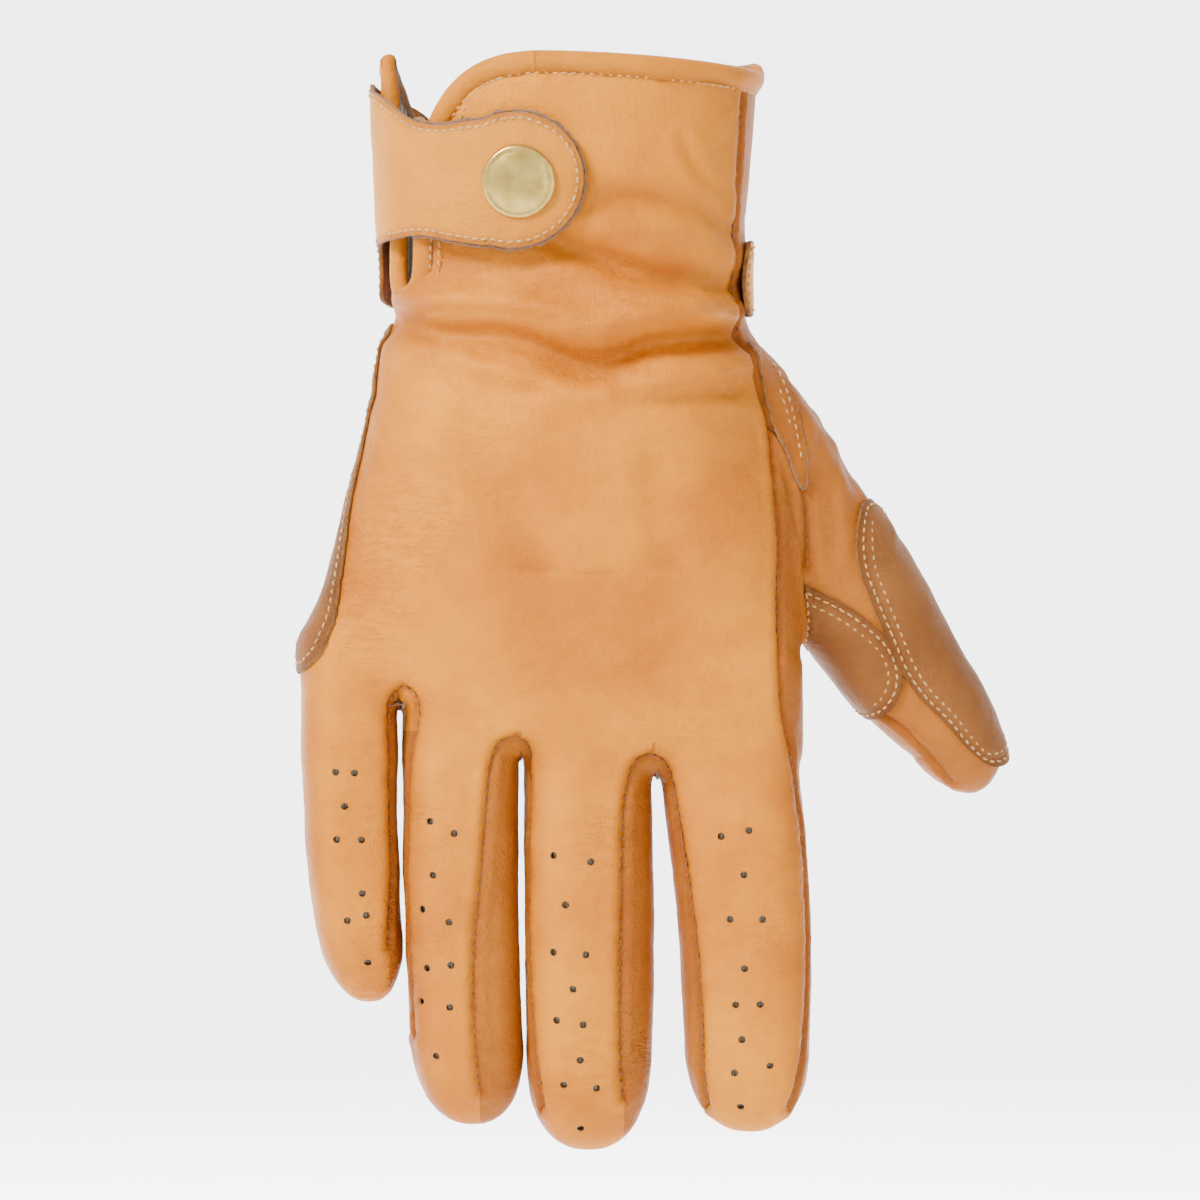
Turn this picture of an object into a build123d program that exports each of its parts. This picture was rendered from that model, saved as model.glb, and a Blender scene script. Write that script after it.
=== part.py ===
"""Right-hand short-cuff leather glove, filled as on a hand, fingers hanging down.

Frame: +Z up, -Y is the back of the hand, +X is the thumb side. The origin is the centre
of the wrist opening, at the top of the rolled hem. All sizes are in millimetres.
"""

from build123d import *

import os
from math import copysign, cos, pi, radians, sin

os.makedirs("parts", exist_ok=True)

# ---------------------------------------------------------------- driving dimensions
LEATHER = 1.1  # shell leather thickness
PATCH = 1.0  # reinforcement leather thickness
LINING = 0.5  # knitted lining thickness
SKIN_GAP = 0.12  # clearance between layers of one body
JOINT_GAP = 0.4  # clearance between bodies at a hinge
SEAM_GAP = 0.06  # between two panels that meet at a seam
HEM_DEPTH = 4.5  # height of the rolled hem
ROLL_PROUD = 0.8  # how far the rolled edges stand out of the leather, each way
SEAM_Y = -11.0  # plane where the back panel meets the palm panel
FAR = 200.0  # half size of a cutting block

# Cross-sections of the hand and cuff, outside the leather:
# height, centre x, centre y, half width, half depth, roundness exponent
HAND = [
    (0.0, 0.0, 0.0, 38.2, 24.0, 2.2),
    (-20.0, 0.0, 0.0, 37.8, 23.4, 2.2),
    (-44.0, -1.0, 0.0, 36.6, 21.8, 2.2),
    (-60.0, -1.2, -0.2, 38.6, 21.4, 2.25),
    (-80.0, -1.0, -0.6, 42.8, 20.8, 2.3),
    (-100.0, -1.2, -1.0, 47.2, 19.4, 2.5),
    (-120.0, -3.2, -1.2, 49.8, 17.2, 2.8),
    (-132.0, -4.5, -1.3, 51.4, 15.2, 3.1),
    (-144.0, -4.6, -1.3, 51.4, 13.6, 3.3),
]

# Fingers: hinge height, roll, which sides have a fourchette (-1 little side, +1 thumb side),
# and sections as height, centre x, centre y, half width, half depth.
FINGERS = {
    "index": {
        "hinge_z": -143.0,
        "roll": -4.0,
        "fourchettes": {-1: "index_fourchette"},
        "sections": [
            (-141.0, 31.9, -1.0, 14.4, 12.0),
            (-160.0, 33.9, -0.6, 14.3, 11.6),
            (-175.0, 35.3, 0.8, 13.6, 11.2),
            (-195.0, 35.9, 3.6, 13.2, 10.6),
            (-208.0, 36.2, 5.8, 12.3, 9.8),
            (-216.0, 36.4, 7.2, 9.6, 7.4),
            (-220.5, 36.4, 8.0, 4.2, 3.0),
        ],
    },
    "middle": {
        "hinge_z": -143.0,
        "roll": 7.0,
        "fourchettes": {-1: "middle_fourchette_ring_side", 1: "middle_fourchette_index_side"},
        "sections": [
            (-141.0, 3.2, -1.0, 13.0, 12.0),
            (-160.0, 2.8, -0.6, 12.8, 11.8),
            (-180.0, 2.7, 1.2, 12.6, 11.3),
            (-200.0, 2.9, 4.2, 12.2, 10.7),
            (-212.0, 3.1, 6.4, 11.4, 9.8),
            (-220.0, 3.0, 8.0, 8.8, 7.2),
            (-224.5, 2.9, 8.9, 3.8, 3.0),
        ],
    },
    "ring": {
        "hinge_z": -140.5,
        "roll": 9.0,
        "fourchettes": {-1: "ring_fourchette_little_side", 1: "ring_fourchette_middle_side"},
        "sections": [
            (-138.5, -22.95, -1.0, 11.9, 11.8),
            (-160.0, -22.95, -0.2, 11.8, 11.4),
            (-178.0, -22.8, 1.8, 11.7, 11.0),
            (-196.0, -22.3, 5.0, 11.3, 10.4),
            (-207.0, -21.5, 7.2, 10.4, 9.4),
            (-214.5, -20.8, 8.8, 8.0, 7.0),
            (-219.0, -20.6, 9.8, 3.4, 3.0),
        ],
    },
    "little": {
        "hinge_z": -132.0,
        "roll": 5.0,
        "fourchettes": {1: "little_fourchette"},
        "sections": [
            (-130.0, -45.7, -0.4, 9.8, 11.2),
            (-146.0, -45.7, 0.8, 9.8, 10.8),
            (-160.0, -45.5, 2.4, 9.6, 10.3),
            (-174.0, -44.6, 4.8, 9.0, 9.6),
            (-184.0, -43.2, 6.8, 7.6, 8.4),
            (-190.0, -42.2, 8.2, 5.6, 6.2),
            (-193.8, -41.6, 9.0, 2.6, 3.0),
        ],
    },
}
FINGER_ROUNDNESS = 2.9
SEAM_SHARE = 0.68  # place of a finger's side seams, as a share of its half width
SEAM_LOW = -0.03  # place of its back edge seams, as a share of its half depth
SEAM_SLIT = 0.005  # the slit between two panels at a seam, as such a share
OUTSIDE = 3.0  # a share that lies well outside the finger
RING_LEFT = -35.35  # between little and ring finger
MIDDLE_LEFT = -10.3  # between ring and middle finger

# Thumb, in its own frame: z along the thumb to its tip, x outwards, y to the back.
THUMB_BASE = (34.5, 6.0, -68.8)
THUMB_AXIS = (0.516, 0.09, -0.852)
THUMB_OUT = (0.855, 0.0, 0.518)
THUMB_HINGE = 51.5  # distance of the thumb's hinge along it
THUMB_ROOT, THUMB_END = -30.0, 130.0  # distances along it, beyond both its ends
THUMB_REACH = 40.0  # a distance from its axis that lies well outside it
THUMB_SEAM = 0.5  # its back meets its front this far towards the back
THUMB_ALL = [(-60, 0), (60, 0), (60, THUMB_END), (-60, THUMB_END)]
THUMB_ROUNDNESS = 2.4
THUMB = [  # distance along, centre x, half width, half depth
    (-14.0, -2.0, 7.0, 9.0),
    (-8.0, -2.0, 10.4, 11.0),
    (4.0, -1.6, 12.0, 12.4),
    (16.0, -1.2, 12.6, 12.8),
    (26.0, -1.4, 12.7, 12.8),
    (40.0, -0.9, 13.5, 12.4),
    (54.0, -0.9, 13.2, 11.8),
    (68.0, -1.2, 12.0, 10.9),
    (80.0, -0.9, 9.7, 9.2),
    (89.0, -0.6, 6.6, 6.6),
    (95.5, -0.4, 2.6, 2.6),
]
SADDLE = [  # patch over the fork between thumb and hand: across the thumb, along it
    (-40.0, 30.0),
    (-4.0, 33.0),
    (3.0, 38.0),
    (6.5, 44.0),
    (7.5, THUMB_HINGE - 2 * JOINT_GAP),
    (-40.0, THUMB_HINGE - 2 * JOINT_GAP),
]
TEARDROP = [  # patch on the back of the thumb, beyond its hinge: across, along
    (-6.2, THUMB_HINGE + JOINT_GAP),
    (-6.0, 58.0),
    (-4.6, 68.0),
    (-3.6, 78.0),
    (-2.4, 84.0),
    (0.4, 88.0),
    (3.2, 85.0),
    (4.6, 78.0),
    (6.0, 68.0),
    (6.6, 58.0),
    (6.8, THUMB_HINGE + JOINT_GAP),
]

# Wrist vent on the little-finger side. Its plane faces the side of the wrist.
VENT_ORIGIN = (-34.6, -9.8, 0.0)
VENT_ACROSS = (0.579, -0.815, 0.0)  # from the palm side towards the back
VENT_OUT = (-0.815, -0.579, 0.0)
VENT_DEPTH = 15.0  # how far the vent's cut reaches in and out of its plane
VENT_FOOT = 3.0, -44.2  # radius and height of the slot's round foot
VENT_SLOT = [  # across, height: the open slot, flaring into the mouth on the back side
    (-3.0, -44.2),
    (-3.6, -20.0),
    (-4.6, -3.0),
    (-7.0, 8.0),
    (34.0, 8.0),
    (27.0, 0.6),
    (18.1, -2.2),
    (12.8, -6.8),
    (8.6, -13.0),
    (5.4, -24.0),
    (3.0, -44.2),
]
BINDING = 3.9  # width of the rolled binding round the vent

# Wrist strap: a paddle on the back, round the little-finger edge and across the palm side.
STRAP = 1.15  # thickness of one strap layer
STRAP_GROW = 1.35  # how far the strap's underside stands off the leather, on average
STRAP_SHIFT = (-0.8, -0.8)  # the strap sits prouder on the back and little-finger side
STRAP_HINGE_Y = -3.2
PADDLE = (-11.3, -25.8, 14.1)  # centre x, height, radius
STRAP_TOP = [(-60.0, -1.0), (-40.1, -6.3), (-30.0, -12.4), (-20.0, -13.0), (-11.3, -11.7)]
STRAP_FOOT = [(-9.0, -39.7), (-22.0, -37.3), (-33.0, -37.2), (-40.0, -41.5), (-44.0, -50.6), (-60.0, -50.6)]
BAND_TOP = [(-60.0, -6.3), (-38.0, -9.0), (-26.0, -22.0), (0.0, -32.0), (34.0, -36.8), (60.0, -36.8)]
BAND_FOOT = [(60.0, -53.0), (34.0, -53.0), (0.0, -52.0), (-30.0, -51.0), (-60.0, -50.6)]
TAB_X = 33.0  # where the band ends, after it has come round the thumb side

# Line-24 snap, heights are over the leather at the snap's axis
SNAP_ORIGIN = (-10.2, -22.55, -26.0)
SNAP_OUT = (-0.128, -0.99, -0.066)
SEAT = 2.25  # top of the socket, underside of the strap
CAP_SEAT = 4.15  # underside of the cap
CAP_RADIUS, CAP_HEIGHT = 7.5, 1.9
CAP_RIM = 0.6  # height of the cap's straight side
CAP_SHOULDER = (6.6, 1.3)  # radius and height of the cap's rounded shoulder
CAP_CROWN = 4.3  # radius of the cap's nearly flat top
HOLE_DEPTH = 6.0  # how far the snap's holes reach below its axis point
STUD_FOOT = 0.02  # the stud's flange rests just over the leather
SOCKET_RADIUS, SOCKET_BORE, SOCKET_FOOT, SOCKET_WEB = 6.0, 2.5, 0.8, 0.35
STUD_RADIUS, STUD_TOP, STUD_FLANGE_RADIUS, STUD_FLANGE = 2.1, 1.5, 5.2, 0.35
POST_RADIUS = 1.7
EYELET_RADIUS, EYELET = 4.8, 0.4
EYELET_TOP = -1.65  # top of the eyelet, under the leather
POST_GAP = 0.08  # clearance round the snap's posts

# Palm patches, as outlines seen from the front: x, height
HEEL_PATCH = [
    (-75.0, -54.0),
    (-30.0, -55.5),
    (-14.0, -60.0),
    (-7.0, -74.0),
    (-8.0, -94.0),
    (-18.0, -110.0),
    (-36.0, -119.0),
    (-75.0, -124.0),
]
THUMB_HEEL_PATCH = [
    (24.0, -57.5),
    (12.0, -61.0),
    (4.0, -76.0),
    (6.0, -92.0),
    (14.0, -103.0),
    (25.0, -108.0),
    (27.0, -90.0),
    (25.0, -70.0),
]


# ---------------------------------------------------------------- shared shapes
def oval(plane, cx, cy, a, b, exponent, roll=0.0, count=16):
    """One closed superellipse section as a face."""
    points = []
    turn = radians(roll)
    for i in range(count):
        t = 2 * pi * i / count
        u = a * copysign(abs(cos(t)) ** (2 / exponent), cos(t))
        v = b * copysign(abs(sin(t)) ** (2 / exponent), sin(t))
        points.append((cx + u * cos(turn) - v * sin(turn), cy + u * sin(turn) + v * cos(turn)))
    with BuildSketch(plane) as section:
        with BuildLine():
            Spline(*points, periodic=True)
        make_face()
    return section.sketch.face()


def hand_ovals(grow, reach=0.0, shift=(0.0, 0.0)):
    """The hand's sections, each grown; reach stretches both ends."""
    faces = []
    ends = {0: reach, len(HAND) - 1: -reach}
    for i, (z, cx, cy, a, b, n) in enumerate(HAND):
        plane = Plane.XY.offset(z + ends.get(i, 0.0))
        faces.append(oval(plane, cx + shift[0], cy + shift[1], a + grow, b + grow, n))
    return faces


def finger_ovals(finger, grow):
    """A finger's sections, grown, with the tip's end moved by the same."""
    faces = []
    last = len(finger["sections"]) - 1
    for i, (z, cx, cy, a, b) in enumerate(finger["sections"]):
        height = z - grow if i == last else z
        size = max(a + grow, 0.9), max(b + grow, 0.9)
        faces.append(oval(Plane.XY.offset(height), cx, cy, *size, FINGER_ROUNDNESS, finger["roll"]))
    return faces


def finger_sector(finger, u_range, v_range):
    """Rectangles across a finger, in shares of its size at the root, that follow its centre."""
    faces = []
    _, _, _, root_a, root_b = finger["sections"][0]
    u_low, u_high = [root_a * share for share in u_range]
    v_low, v_high = [root_b * share for share in v_range]
    for z, cx, cy, _, _ in finger["sections"]:
        plane = Plane(origin=(cx, cy, z), z_dir=(0, 0, 1)).rotated((0, 0, finger["roll"]))
        with BuildSketch(plane) as section:
            with Locations(((u_low + u_high) / 2, (v_low + v_high) / 2)):
                Rectangle(u_high - u_low, v_high - v_low)
        faces.append(section.sketch.face())
    return faces


THUMB_PLANE = Plane(origin=THUMB_BASE, x_dir=THUMB_OUT, z_dir=THUMB_AXIS)


def thumb_ovals(grow):
    """The thumb's sections in its own frame, grown."""
    faces = []
    last = len(THUMB) - 1
    for i, (along, cx, a, b) in enumerate(THUMB):
        place = along + grow if i == last else along
        size = max(a + grow, 0.9), max(b + grow, 0.9)
        faces.append(oval(THUMB_PLANE.offset(place), cx, 0, *size, THUMB_ROUNDNESS))
    return faces


def block(x=(-FAR, FAR), y=(-FAR, FAR), z=(-2 * FAR, FAR), mode=Mode.INTERSECT):
    """Keeps, or takes away, the box between the given limits."""
    centre = tuple((low + high) / 2 for low, high in (x, y, z))
    size = [high - low for low, high in (x, y, z)]
    with Locations(centre):
        Box(*size, mode=mode)


def prism(points):
    """Keeps what is inside an outline in x and height, right through the glove."""
    with BuildSketch(Plane.XZ) as outline:
        with BuildLine():
            Polyline(*points, close=True)
        make_face()
    extrude(outline.sketch, amount=FAR, both=True, mode=Mode.INTERSECT)


def thumb_slab(low, high):
    """Keeps the slab of space between two distances along the thumb."""
    with BuildSketch(THUMB_PLANE.offset(low)) as slab:
        Rectangle(FAR, FAR)
    extrude(slab.sketch, amount=high - low, mode=Mode.INTERSECT)


def thumb_prism(points, low, high):
    """Keeps what is inside an outline drawn across and along the thumb."""
    plane = Plane(origin=THUMB_BASE, x_dir=THUMB_OUT, z_dir=-THUMB_PLANE.y_dir)
    with BuildSketch(plane.offset(-high)) as outline:
        with BuildLine():
            Polyline(*points, close=True)
        make_face()
    extrude(outline.sketch, amount=high - low, mode=Mode.INTERSECT)


def save(part, name):
    part.label = name
    export_step(part, f"parts/{name}.step")


# ---------------------------------------------------------------- envelopes
with BuildPart() as hand_outside:
    loft(sections=hand_ovals(0))
with BuildPart() as hand_over:
    loft(sections=hand_ovals(SKIN_GAP, 2))
with BuildPart() as hand_inside:
    loft(sections=hand_ovals(-LEATHER, 2))
with BuildPart() as thumb_outside:
    loft(sections=thumb_ovals(0))
with BuildPart() as thumb_over:
    loft(sections=thumb_ovals(SKIN_GAP))
with BuildPart() as thumb_inside:
    loft(sections=thumb_ovals(-LEATHER))

VENT_PLANE = Plane(origin=VENT_ORIGIN, x_dir=VENT_ACROSS, z_dir=VENT_OUT).offset(-VENT_DEPTH)
with BuildSketch() as slot_outline:
    with BuildLine():
        Polyline(*VENT_SLOT, close=True)
    make_face()
    with Locations((0, VENT_FOOT[1])):
        Circle(VENT_FOOT[0])
with BuildSketch() as binding_outline:
    add(slot_outline.sketch)
    offset(amount=BINDING, kind=Kind.ARC, mode=Mode.REPLACE)
with BuildSketch() as cut_outline:
    add(slot_outline.sketch)
    offset(amount=BINDING + SEAM_GAP, kind=Kind.ARC, mode=Mode.REPLACE)
with BuildPart() as slot_space:
    extrude(VENT_PLANE * slot_outline.sketch, amount=2 * VENT_DEPTH)
with BuildPart() as binding_space:
    extrude(VENT_PLANE * binding_outline.sketch, amount=2 * VENT_DEPTH)
with BuildPart() as cut_space:
    extrude(VENT_PLANE * cut_outline.sketch, amount=2 * VENT_DEPTH)

SNAP_PLANE = Plane(origin=SNAP_ORIGIN, z_dir=SNAP_OUT)


def snap_hole(radius, low, high):
    """Takes away a round hole on the snap's axis between two heights."""
    with BuildSketch(SNAP_PLANE.offset(low)) as disc:
        Circle(radius)
    extrude(disc.sketch, amount=high - low, mode=Mode.SUBTRACT)


# ---------------------------------------------------------------- hand and cuff
def hand_shell():
    """The leather tube of hand and cuff, below the hem, open to thumb and fingers."""
    add(hand_outside.part)
    add(hand_inside.part, mode=Mode.SUBTRACT)
    block(z=(-FAR, -HEM_DEPTH - SEAM_GAP))
    trim_finger_ends()
    add(thumb_inside.part, mode=Mode.SUBTRACT)
    add(cut_space.part, mode=Mode.SUBTRACT)


def trim_finger_ends():
    """Steps the hand's lower end just above each finger's hinge."""
    block(z=(-2 * FAR, FINGERS["middle"]["hinge_z"] + JOINT_GAP), mode=Mode.SUBTRACT)
    block(
        x=(-FAR, MIDDLE_LEFT),
        z=(-2 * FAR, FINGERS["ring"]["hinge_z"] + JOINT_GAP),
        mode=Mode.SUBTRACT,
    )
    block(
        x=(-FAR, RING_LEFT),
        z=(-2 * FAR, FINGERS["little"]["hinge_z"] + JOINT_GAP),
        mode=Mode.SUBTRACT,
    )


with BuildPart() as hand_back:
    hand_shell()
    block(y=(-FAR, SEAM_Y - SEAM_GAP))
    snap_hole(POST_RADIUS + POST_GAP, -HOLE_DEPTH, HOLE_DEPTH)
save(hand_back.part, "hand_back")

with BuildPart() as hand_palm:
    hand_shell()
    block(y=(SEAM_Y, FAR))
save(hand_palm.part, "hand_palm")

with BuildPart() as hem_outside:
    loft(sections=hand_ovals(ROLL_PROUD))
with BuildPart() as hem_inside:
    loft(sections=hand_ovals(-LEATHER - ROLL_PROUD, 2))

with BuildPart() as cuff_hem:
    add(hem_outside.part)
    add(hem_inside.part, mode=Mode.SUBTRACT)
    block(z=(-HEM_DEPTH, 0))
    add(cut_space.part, mode=Mode.SUBTRACT)
save(cuff_hem.part, "cuff_hem")

with BuildPart() as vent_binding:
    add(hem_outside.part)
    add(hem_inside.part, mode=Mode.SUBTRACT)
    add(binding_space.part, mode=Mode.INTERSECT)
    add(slot_space.part, mode=Mode.SUBTRACT)
save(vent_binding.part, "vent_binding")

with BuildPart() as thumb_base:
    add(thumb_outside.part)
    add(thumb_inside.part, mode=Mode.SUBTRACT)
    thumb_slab(THUMB_ROOT, THUMB_HINGE - JOINT_GAP)
    add(hand_over.part, mode=Mode.SUBTRACT)
save(thumb_base.part, "thumb_base")

with BuildPart() as thumb_core:
    loft(sections=thumb_ovals(-LEATHER - SKIN_GAP))
    thumb_slab(THUMB_ROOT, THUMB_HINGE - JOINT_GAP)

with BuildPart() as hand_lining:
    loft(sections=hand_ovals(-LEATHER - SKIN_GAP))
    add(thumb_core.part)
    loft(sections=hand_ovals(-LEATHER - SKIN_GAP - LINING, 2), mode=Mode.SUBTRACT)
    loft(sections=thumb_ovals(-LEATHER - SKIN_GAP - LINING), mode=Mode.SUBTRACT)
    block(z=(-FAR, -HEM_DEPTH - 1.0))
    trim_finger_ends()
    add(cut_space.part, mode=Mode.SUBTRACT)
    snap_hole(EYELET_RADIUS + JOINT_GAP, -HOLE_DEPTH, HOLE_DEPTH)
save(hand_lining.part, "hand_lining")


# ---------------------------------------------------------------- palm and thumb patches
with BuildPart() as patch_outside:
    loft(sections=hand_ovals(SKIN_GAP + PATCH))

with BuildPart() as palm_heel_patch:
    add(patch_outside.part)
    add(hand_over.part, mode=Mode.SUBTRACT)
    prism(HEEL_PATCH)
    block(y=(-5.0, FAR))
    add(cut_space.part, mode=Mode.SUBTRACT)
save(palm_heel_patch.part, "palm_heel_patch")

with BuildPart() as thumb_heel_patch:
    add(patch_outside.part)
    add(hand_over.part, mode=Mode.SUBTRACT)
    prism(THUMB_HEEL_PATCH)
    block(y=(0.0, FAR))
    add(thumb_over.part, mode=Mode.SUBTRACT)
save(thumb_heel_patch.part, "thumb_heel_patch")

with BuildPart() as thumb_patch_outside:
    loft(sections=thumb_ovals(SKIN_GAP + PATCH))

with BuildPart() as thumb_saddle_patch:
    add(thumb_patch_outside.part)
    add(thumb_over.part, mode=Mode.SUBTRACT)
    thumb_prism(SADDLE, -THUMB_REACH, THUMB_REACH)
    add(patch_outside.part, mode=Mode.SUBTRACT)
save(thumb_saddle_patch.part, "thumb_saddle_patch")


# ---------------------------------------------------------------- fingers
for name, finger in FINGERS.items():
    top = finger["hinge_z"]
    with BuildPart() as stall:
        loft(sections=finger_ovals(finger, 0))
        loft(sections=finger_ovals(finger, -LEATHER), mode=Mode.SUBTRACT)
        block(z=(-2 * FAR, top))

    with BuildPart() as sides:
        for side in finger["fourchettes"]:
            shares = sorted([side * SEAM_SHARE, side * OUTSIDE])
            loft(sections=finger_sector(finger, shares, (-OUTSIDE, OUTSIDE)), ruled=True)

    for side, label in finger["fourchettes"].items():
        shares = sorted([side * (SEAM_SHARE + SEAM_SLIT), side * OUTSIDE])
        with BuildPart() as fourchette:
            add(stall.part)
            loft(sections=finger_sector(finger, shares, (-OUTSIDE, OUTSIDE)), ruled=True, mode=Mode.INTERSECT)
        save(fourchette.part, label)

    back_reach = [-SEAM_SHARE if -1 in finger["fourchettes"] else -OUTSIDE, SEAM_SHARE]
    with BuildPart() as back_sector:
        loft(sections=finger_sector(finger, back_reach, (-OUTSIDE, SEAM_LOW)), ruled=True)
    wide = [back_reach[0] - SEAM_SLIT, back_reach[1] + SEAM_SLIT]
    with BuildPart() as front_keepout:
        loft(sections=finger_sector(finger, wide, (-OUTSIDE, SEAM_LOW + SEAM_SLIT)), ruled=True)

    with BuildPart() as finger_back:
        add(stall.part)
        add(back_sector.part, mode=Mode.INTERSECT)
    save(finger_back.part, f"{name}_back")

    with BuildPart() as finger_front:
        add(stall.part)
        add(front_keepout.part, mode=Mode.SUBTRACT)
        add(sides.part, mode=Mode.SUBTRACT)
    save(finger_front.part, f"{name}_front")

    with BuildPart() as finger_lining:
        loft(sections=finger_ovals(finger, -LEATHER - SKIN_GAP))
        loft(sections=finger_ovals(finger, -LEATHER - SKIN_GAP - LINING), mode=Mode.SUBTRACT)
        block(z=(-2 * FAR, top))
    save(finger_lining.part, f"{name}_lining")


# ---------------------------------------------------------------- thumb
with BuildPart() as thumb_stall:
    add(thumb_outside.part)
    add(thumb_inside.part, mode=Mode.SUBTRACT)
    thumb_slab(THUMB_HINGE, THUMB_END)

with BuildPart() as thumb_back:
    add(thumb_stall.part)
    thumb_prism(THUMB_ALL, THUMB_SEAM + SEAM_GAP, THUMB_REACH)
save(thumb_back.part, "thumb_back")

with BuildPart() as thumb_front:
    add(thumb_stall.part)
    thumb_prism(THUMB_ALL, -THUMB_REACH, THUMB_SEAM)
save(thumb_front.part, "thumb_front")

with BuildPart() as thumb_patch:
    add(thumb_patch_outside.part)
    add(thumb_over.part, mode=Mode.SUBTRACT)
    thumb_prism(TEARDROP, 0, THUMB_REACH)
save(thumb_patch.part, "thumb_patch")

with BuildPart() as thumb_lining:
    loft(sections=thumb_ovals(-LEATHER - SKIN_GAP))
    loft(sections=thumb_ovals(-LEATHER - SKIN_GAP - LINING), mode=Mode.SUBTRACT)
    thumb_slab(THUMB_HINGE, THUMB_END)
save(thumb_lining.part, "thumb_lining")


# ---------------------------------------------------------------- wrist strap
with BuildPart() as strap_under:
    loft(sections=hand_ovals(STRAP_GROW, 2, STRAP_SHIFT))
with BuildPart() as strap_between:
    loft(sections=hand_ovals(STRAP_GROW + STRAP, 1, STRAP_SHIFT))
with BuildPart() as strap_between_over:
    loft(sections=hand_ovals(STRAP_GROW + STRAP + SEAM_GAP, 2, STRAP_SHIFT))
with BuildPart() as strap_top:
    loft(sections=hand_ovals(STRAP_GROW + 2 * STRAP, 1, STRAP_SHIFT))


def paddle_shape():
    """Keeps what lies inside the strap's outline on the back of the cuff."""
    with BuildSketch(Plane.XZ) as outline:
        with BuildLine():
            Spline(*STRAP_TOP)
            Line(STRAP_TOP[-1], STRAP_FOOT[0])
            Spline(*STRAP_FOOT)
            Line(STRAP_FOOT[-1], STRAP_TOP[0])
        make_face()
        with Locations(PADDLE[:2]):
            Circle(PADDLE[2])
    extrude(outline.sketch, amount=FAR, both=True, mode=Mode.INTERSECT)
    block(y=(-FAR, STRAP_HINGE_Y))


with BuildPart() as strap_flap:
    add(strap_top.part)
    add(strap_between_over.part, mode=Mode.SUBTRACT)
    paddle_shape()
    snap_hole(CAP_RADIUS + POST_GAP, CAP_SEAT - POST_GAP, 3 * HOLE_DEPTH)
    snap_hole(POST_RADIUS + POST_GAP, -HOLE_DEPTH, 3 * HOLE_DEPTH)
save(strap_flap.part, "strap_flap")

with BuildPart() as strap_backing:
    add(strap_between.part)
    add(strap_under.part, mode=Mode.SUBTRACT)
    paddle_shape()
    snap_hole(SOCKET_RADIUS + POST_GAP, -HOLE_DEPTH, SEAT + POST_GAP)
    snap_hole(POST_RADIUS + POST_GAP, -HOLE_DEPTH, 3 * HOLE_DEPTH)
save(strap_backing.part, "strap_backing")

with BuildPart() as strap_base:
    add(strap_top.part)
    add(strap_under.part, mode=Mode.SUBTRACT)
    prism(BAND_TOP + BAND_FOOT)
    block(x=(-FAR, TAB_X), y=(-FAR, STRAP_HINGE_Y + JOINT_GAP), mode=Mode.SUBTRACT)
save(strap_base.part, "strap_base")


# ---------------------------------------------------------------- snap
def disc(radius, low, high, mode=Mode.ADD):
    """A round slab on the snap's axis between two heights."""
    with BuildSketch(SNAP_PLANE.offset(low)) as face:
        Circle(radius)
    extrude(face.sketch, amount=high - low, mode=mode)


with BuildPart() as snap_cap:
    disc(CAP_RADIUS, CAP_SEAT, CAP_SEAT + CAP_RIM)
    with BuildSketch(SNAP_PLANE.offset(CAP_SEAT + CAP_RIM)) as cap_rim:
        Circle(CAP_RADIUS)
    with BuildSketch(SNAP_PLANE.offset(CAP_SEAT + CAP_SHOULDER[1])) as cap_shoulder:
        Circle(CAP_SHOULDER[0])
    with BuildSketch(SNAP_PLANE.offset(CAP_SEAT + CAP_HEIGHT)) as cap_crown:
        Circle(CAP_CROWN)
    loft(sections=[cap_rim.sketch.face(), cap_shoulder.sketch.face()], ruled=True)
    loft(sections=[cap_shoulder.sketch.face(), cap_crown.sketch.face()], ruled=True)
    disc(POST_RADIUS, SEAT - SOCKET_WEB, CAP_SEAT)
save(snap_cap.part, "snap_cap")

with BuildPart() as snap_socket:
    disc(SOCKET_RADIUS, SOCKET_FOOT, SEAT)
    disc(SOCKET_BORE, SOCKET_FOOT, SEAT - SOCKET_WEB, Mode.SUBTRACT)
    disc(POST_RADIUS + POST_GAP, SOCKET_FOOT, SEAT, Mode.SUBTRACT)
save(snap_socket.part, "snap_socket")

with BuildPart() as snap_stud:
    disc(STUD_FLANGE_RADIUS, STUD_FOOT, STUD_FLANGE)
    disc(STUD_RADIUS, STUD_FLANGE, STUD_TOP)
    disc(POST_RADIUS, EYELET_TOP - EYELET, STUD_FLANGE)
save(snap_stud.part, "snap_stud")

with BuildPart() as snap_eyelet:
    disc(EYELET_RADIUS, EYELET_TOP - EYELET, EYELET_TOP)
    disc(POST_RADIUS + POST_GAP, EYELET_TOP - EYELET, EYELET_TOP, Mode.SUBTRACT)
save(snap_eyelet.part, "snap_eyelet")
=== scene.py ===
"""The looks of a right-hand tan leather driving glove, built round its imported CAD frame.

Everything is worked out in millimetres in the row frame: +Z out of the cuff, -Y the back of
the hand, +X the thumb side. The leather is one smooth surface, found from the sections of the
hand, the fingers and the thumb, and then cut into its panels along the seams.
"""
import math

import bpy
import numpy as np
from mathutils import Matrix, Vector, geometry, noise


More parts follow.
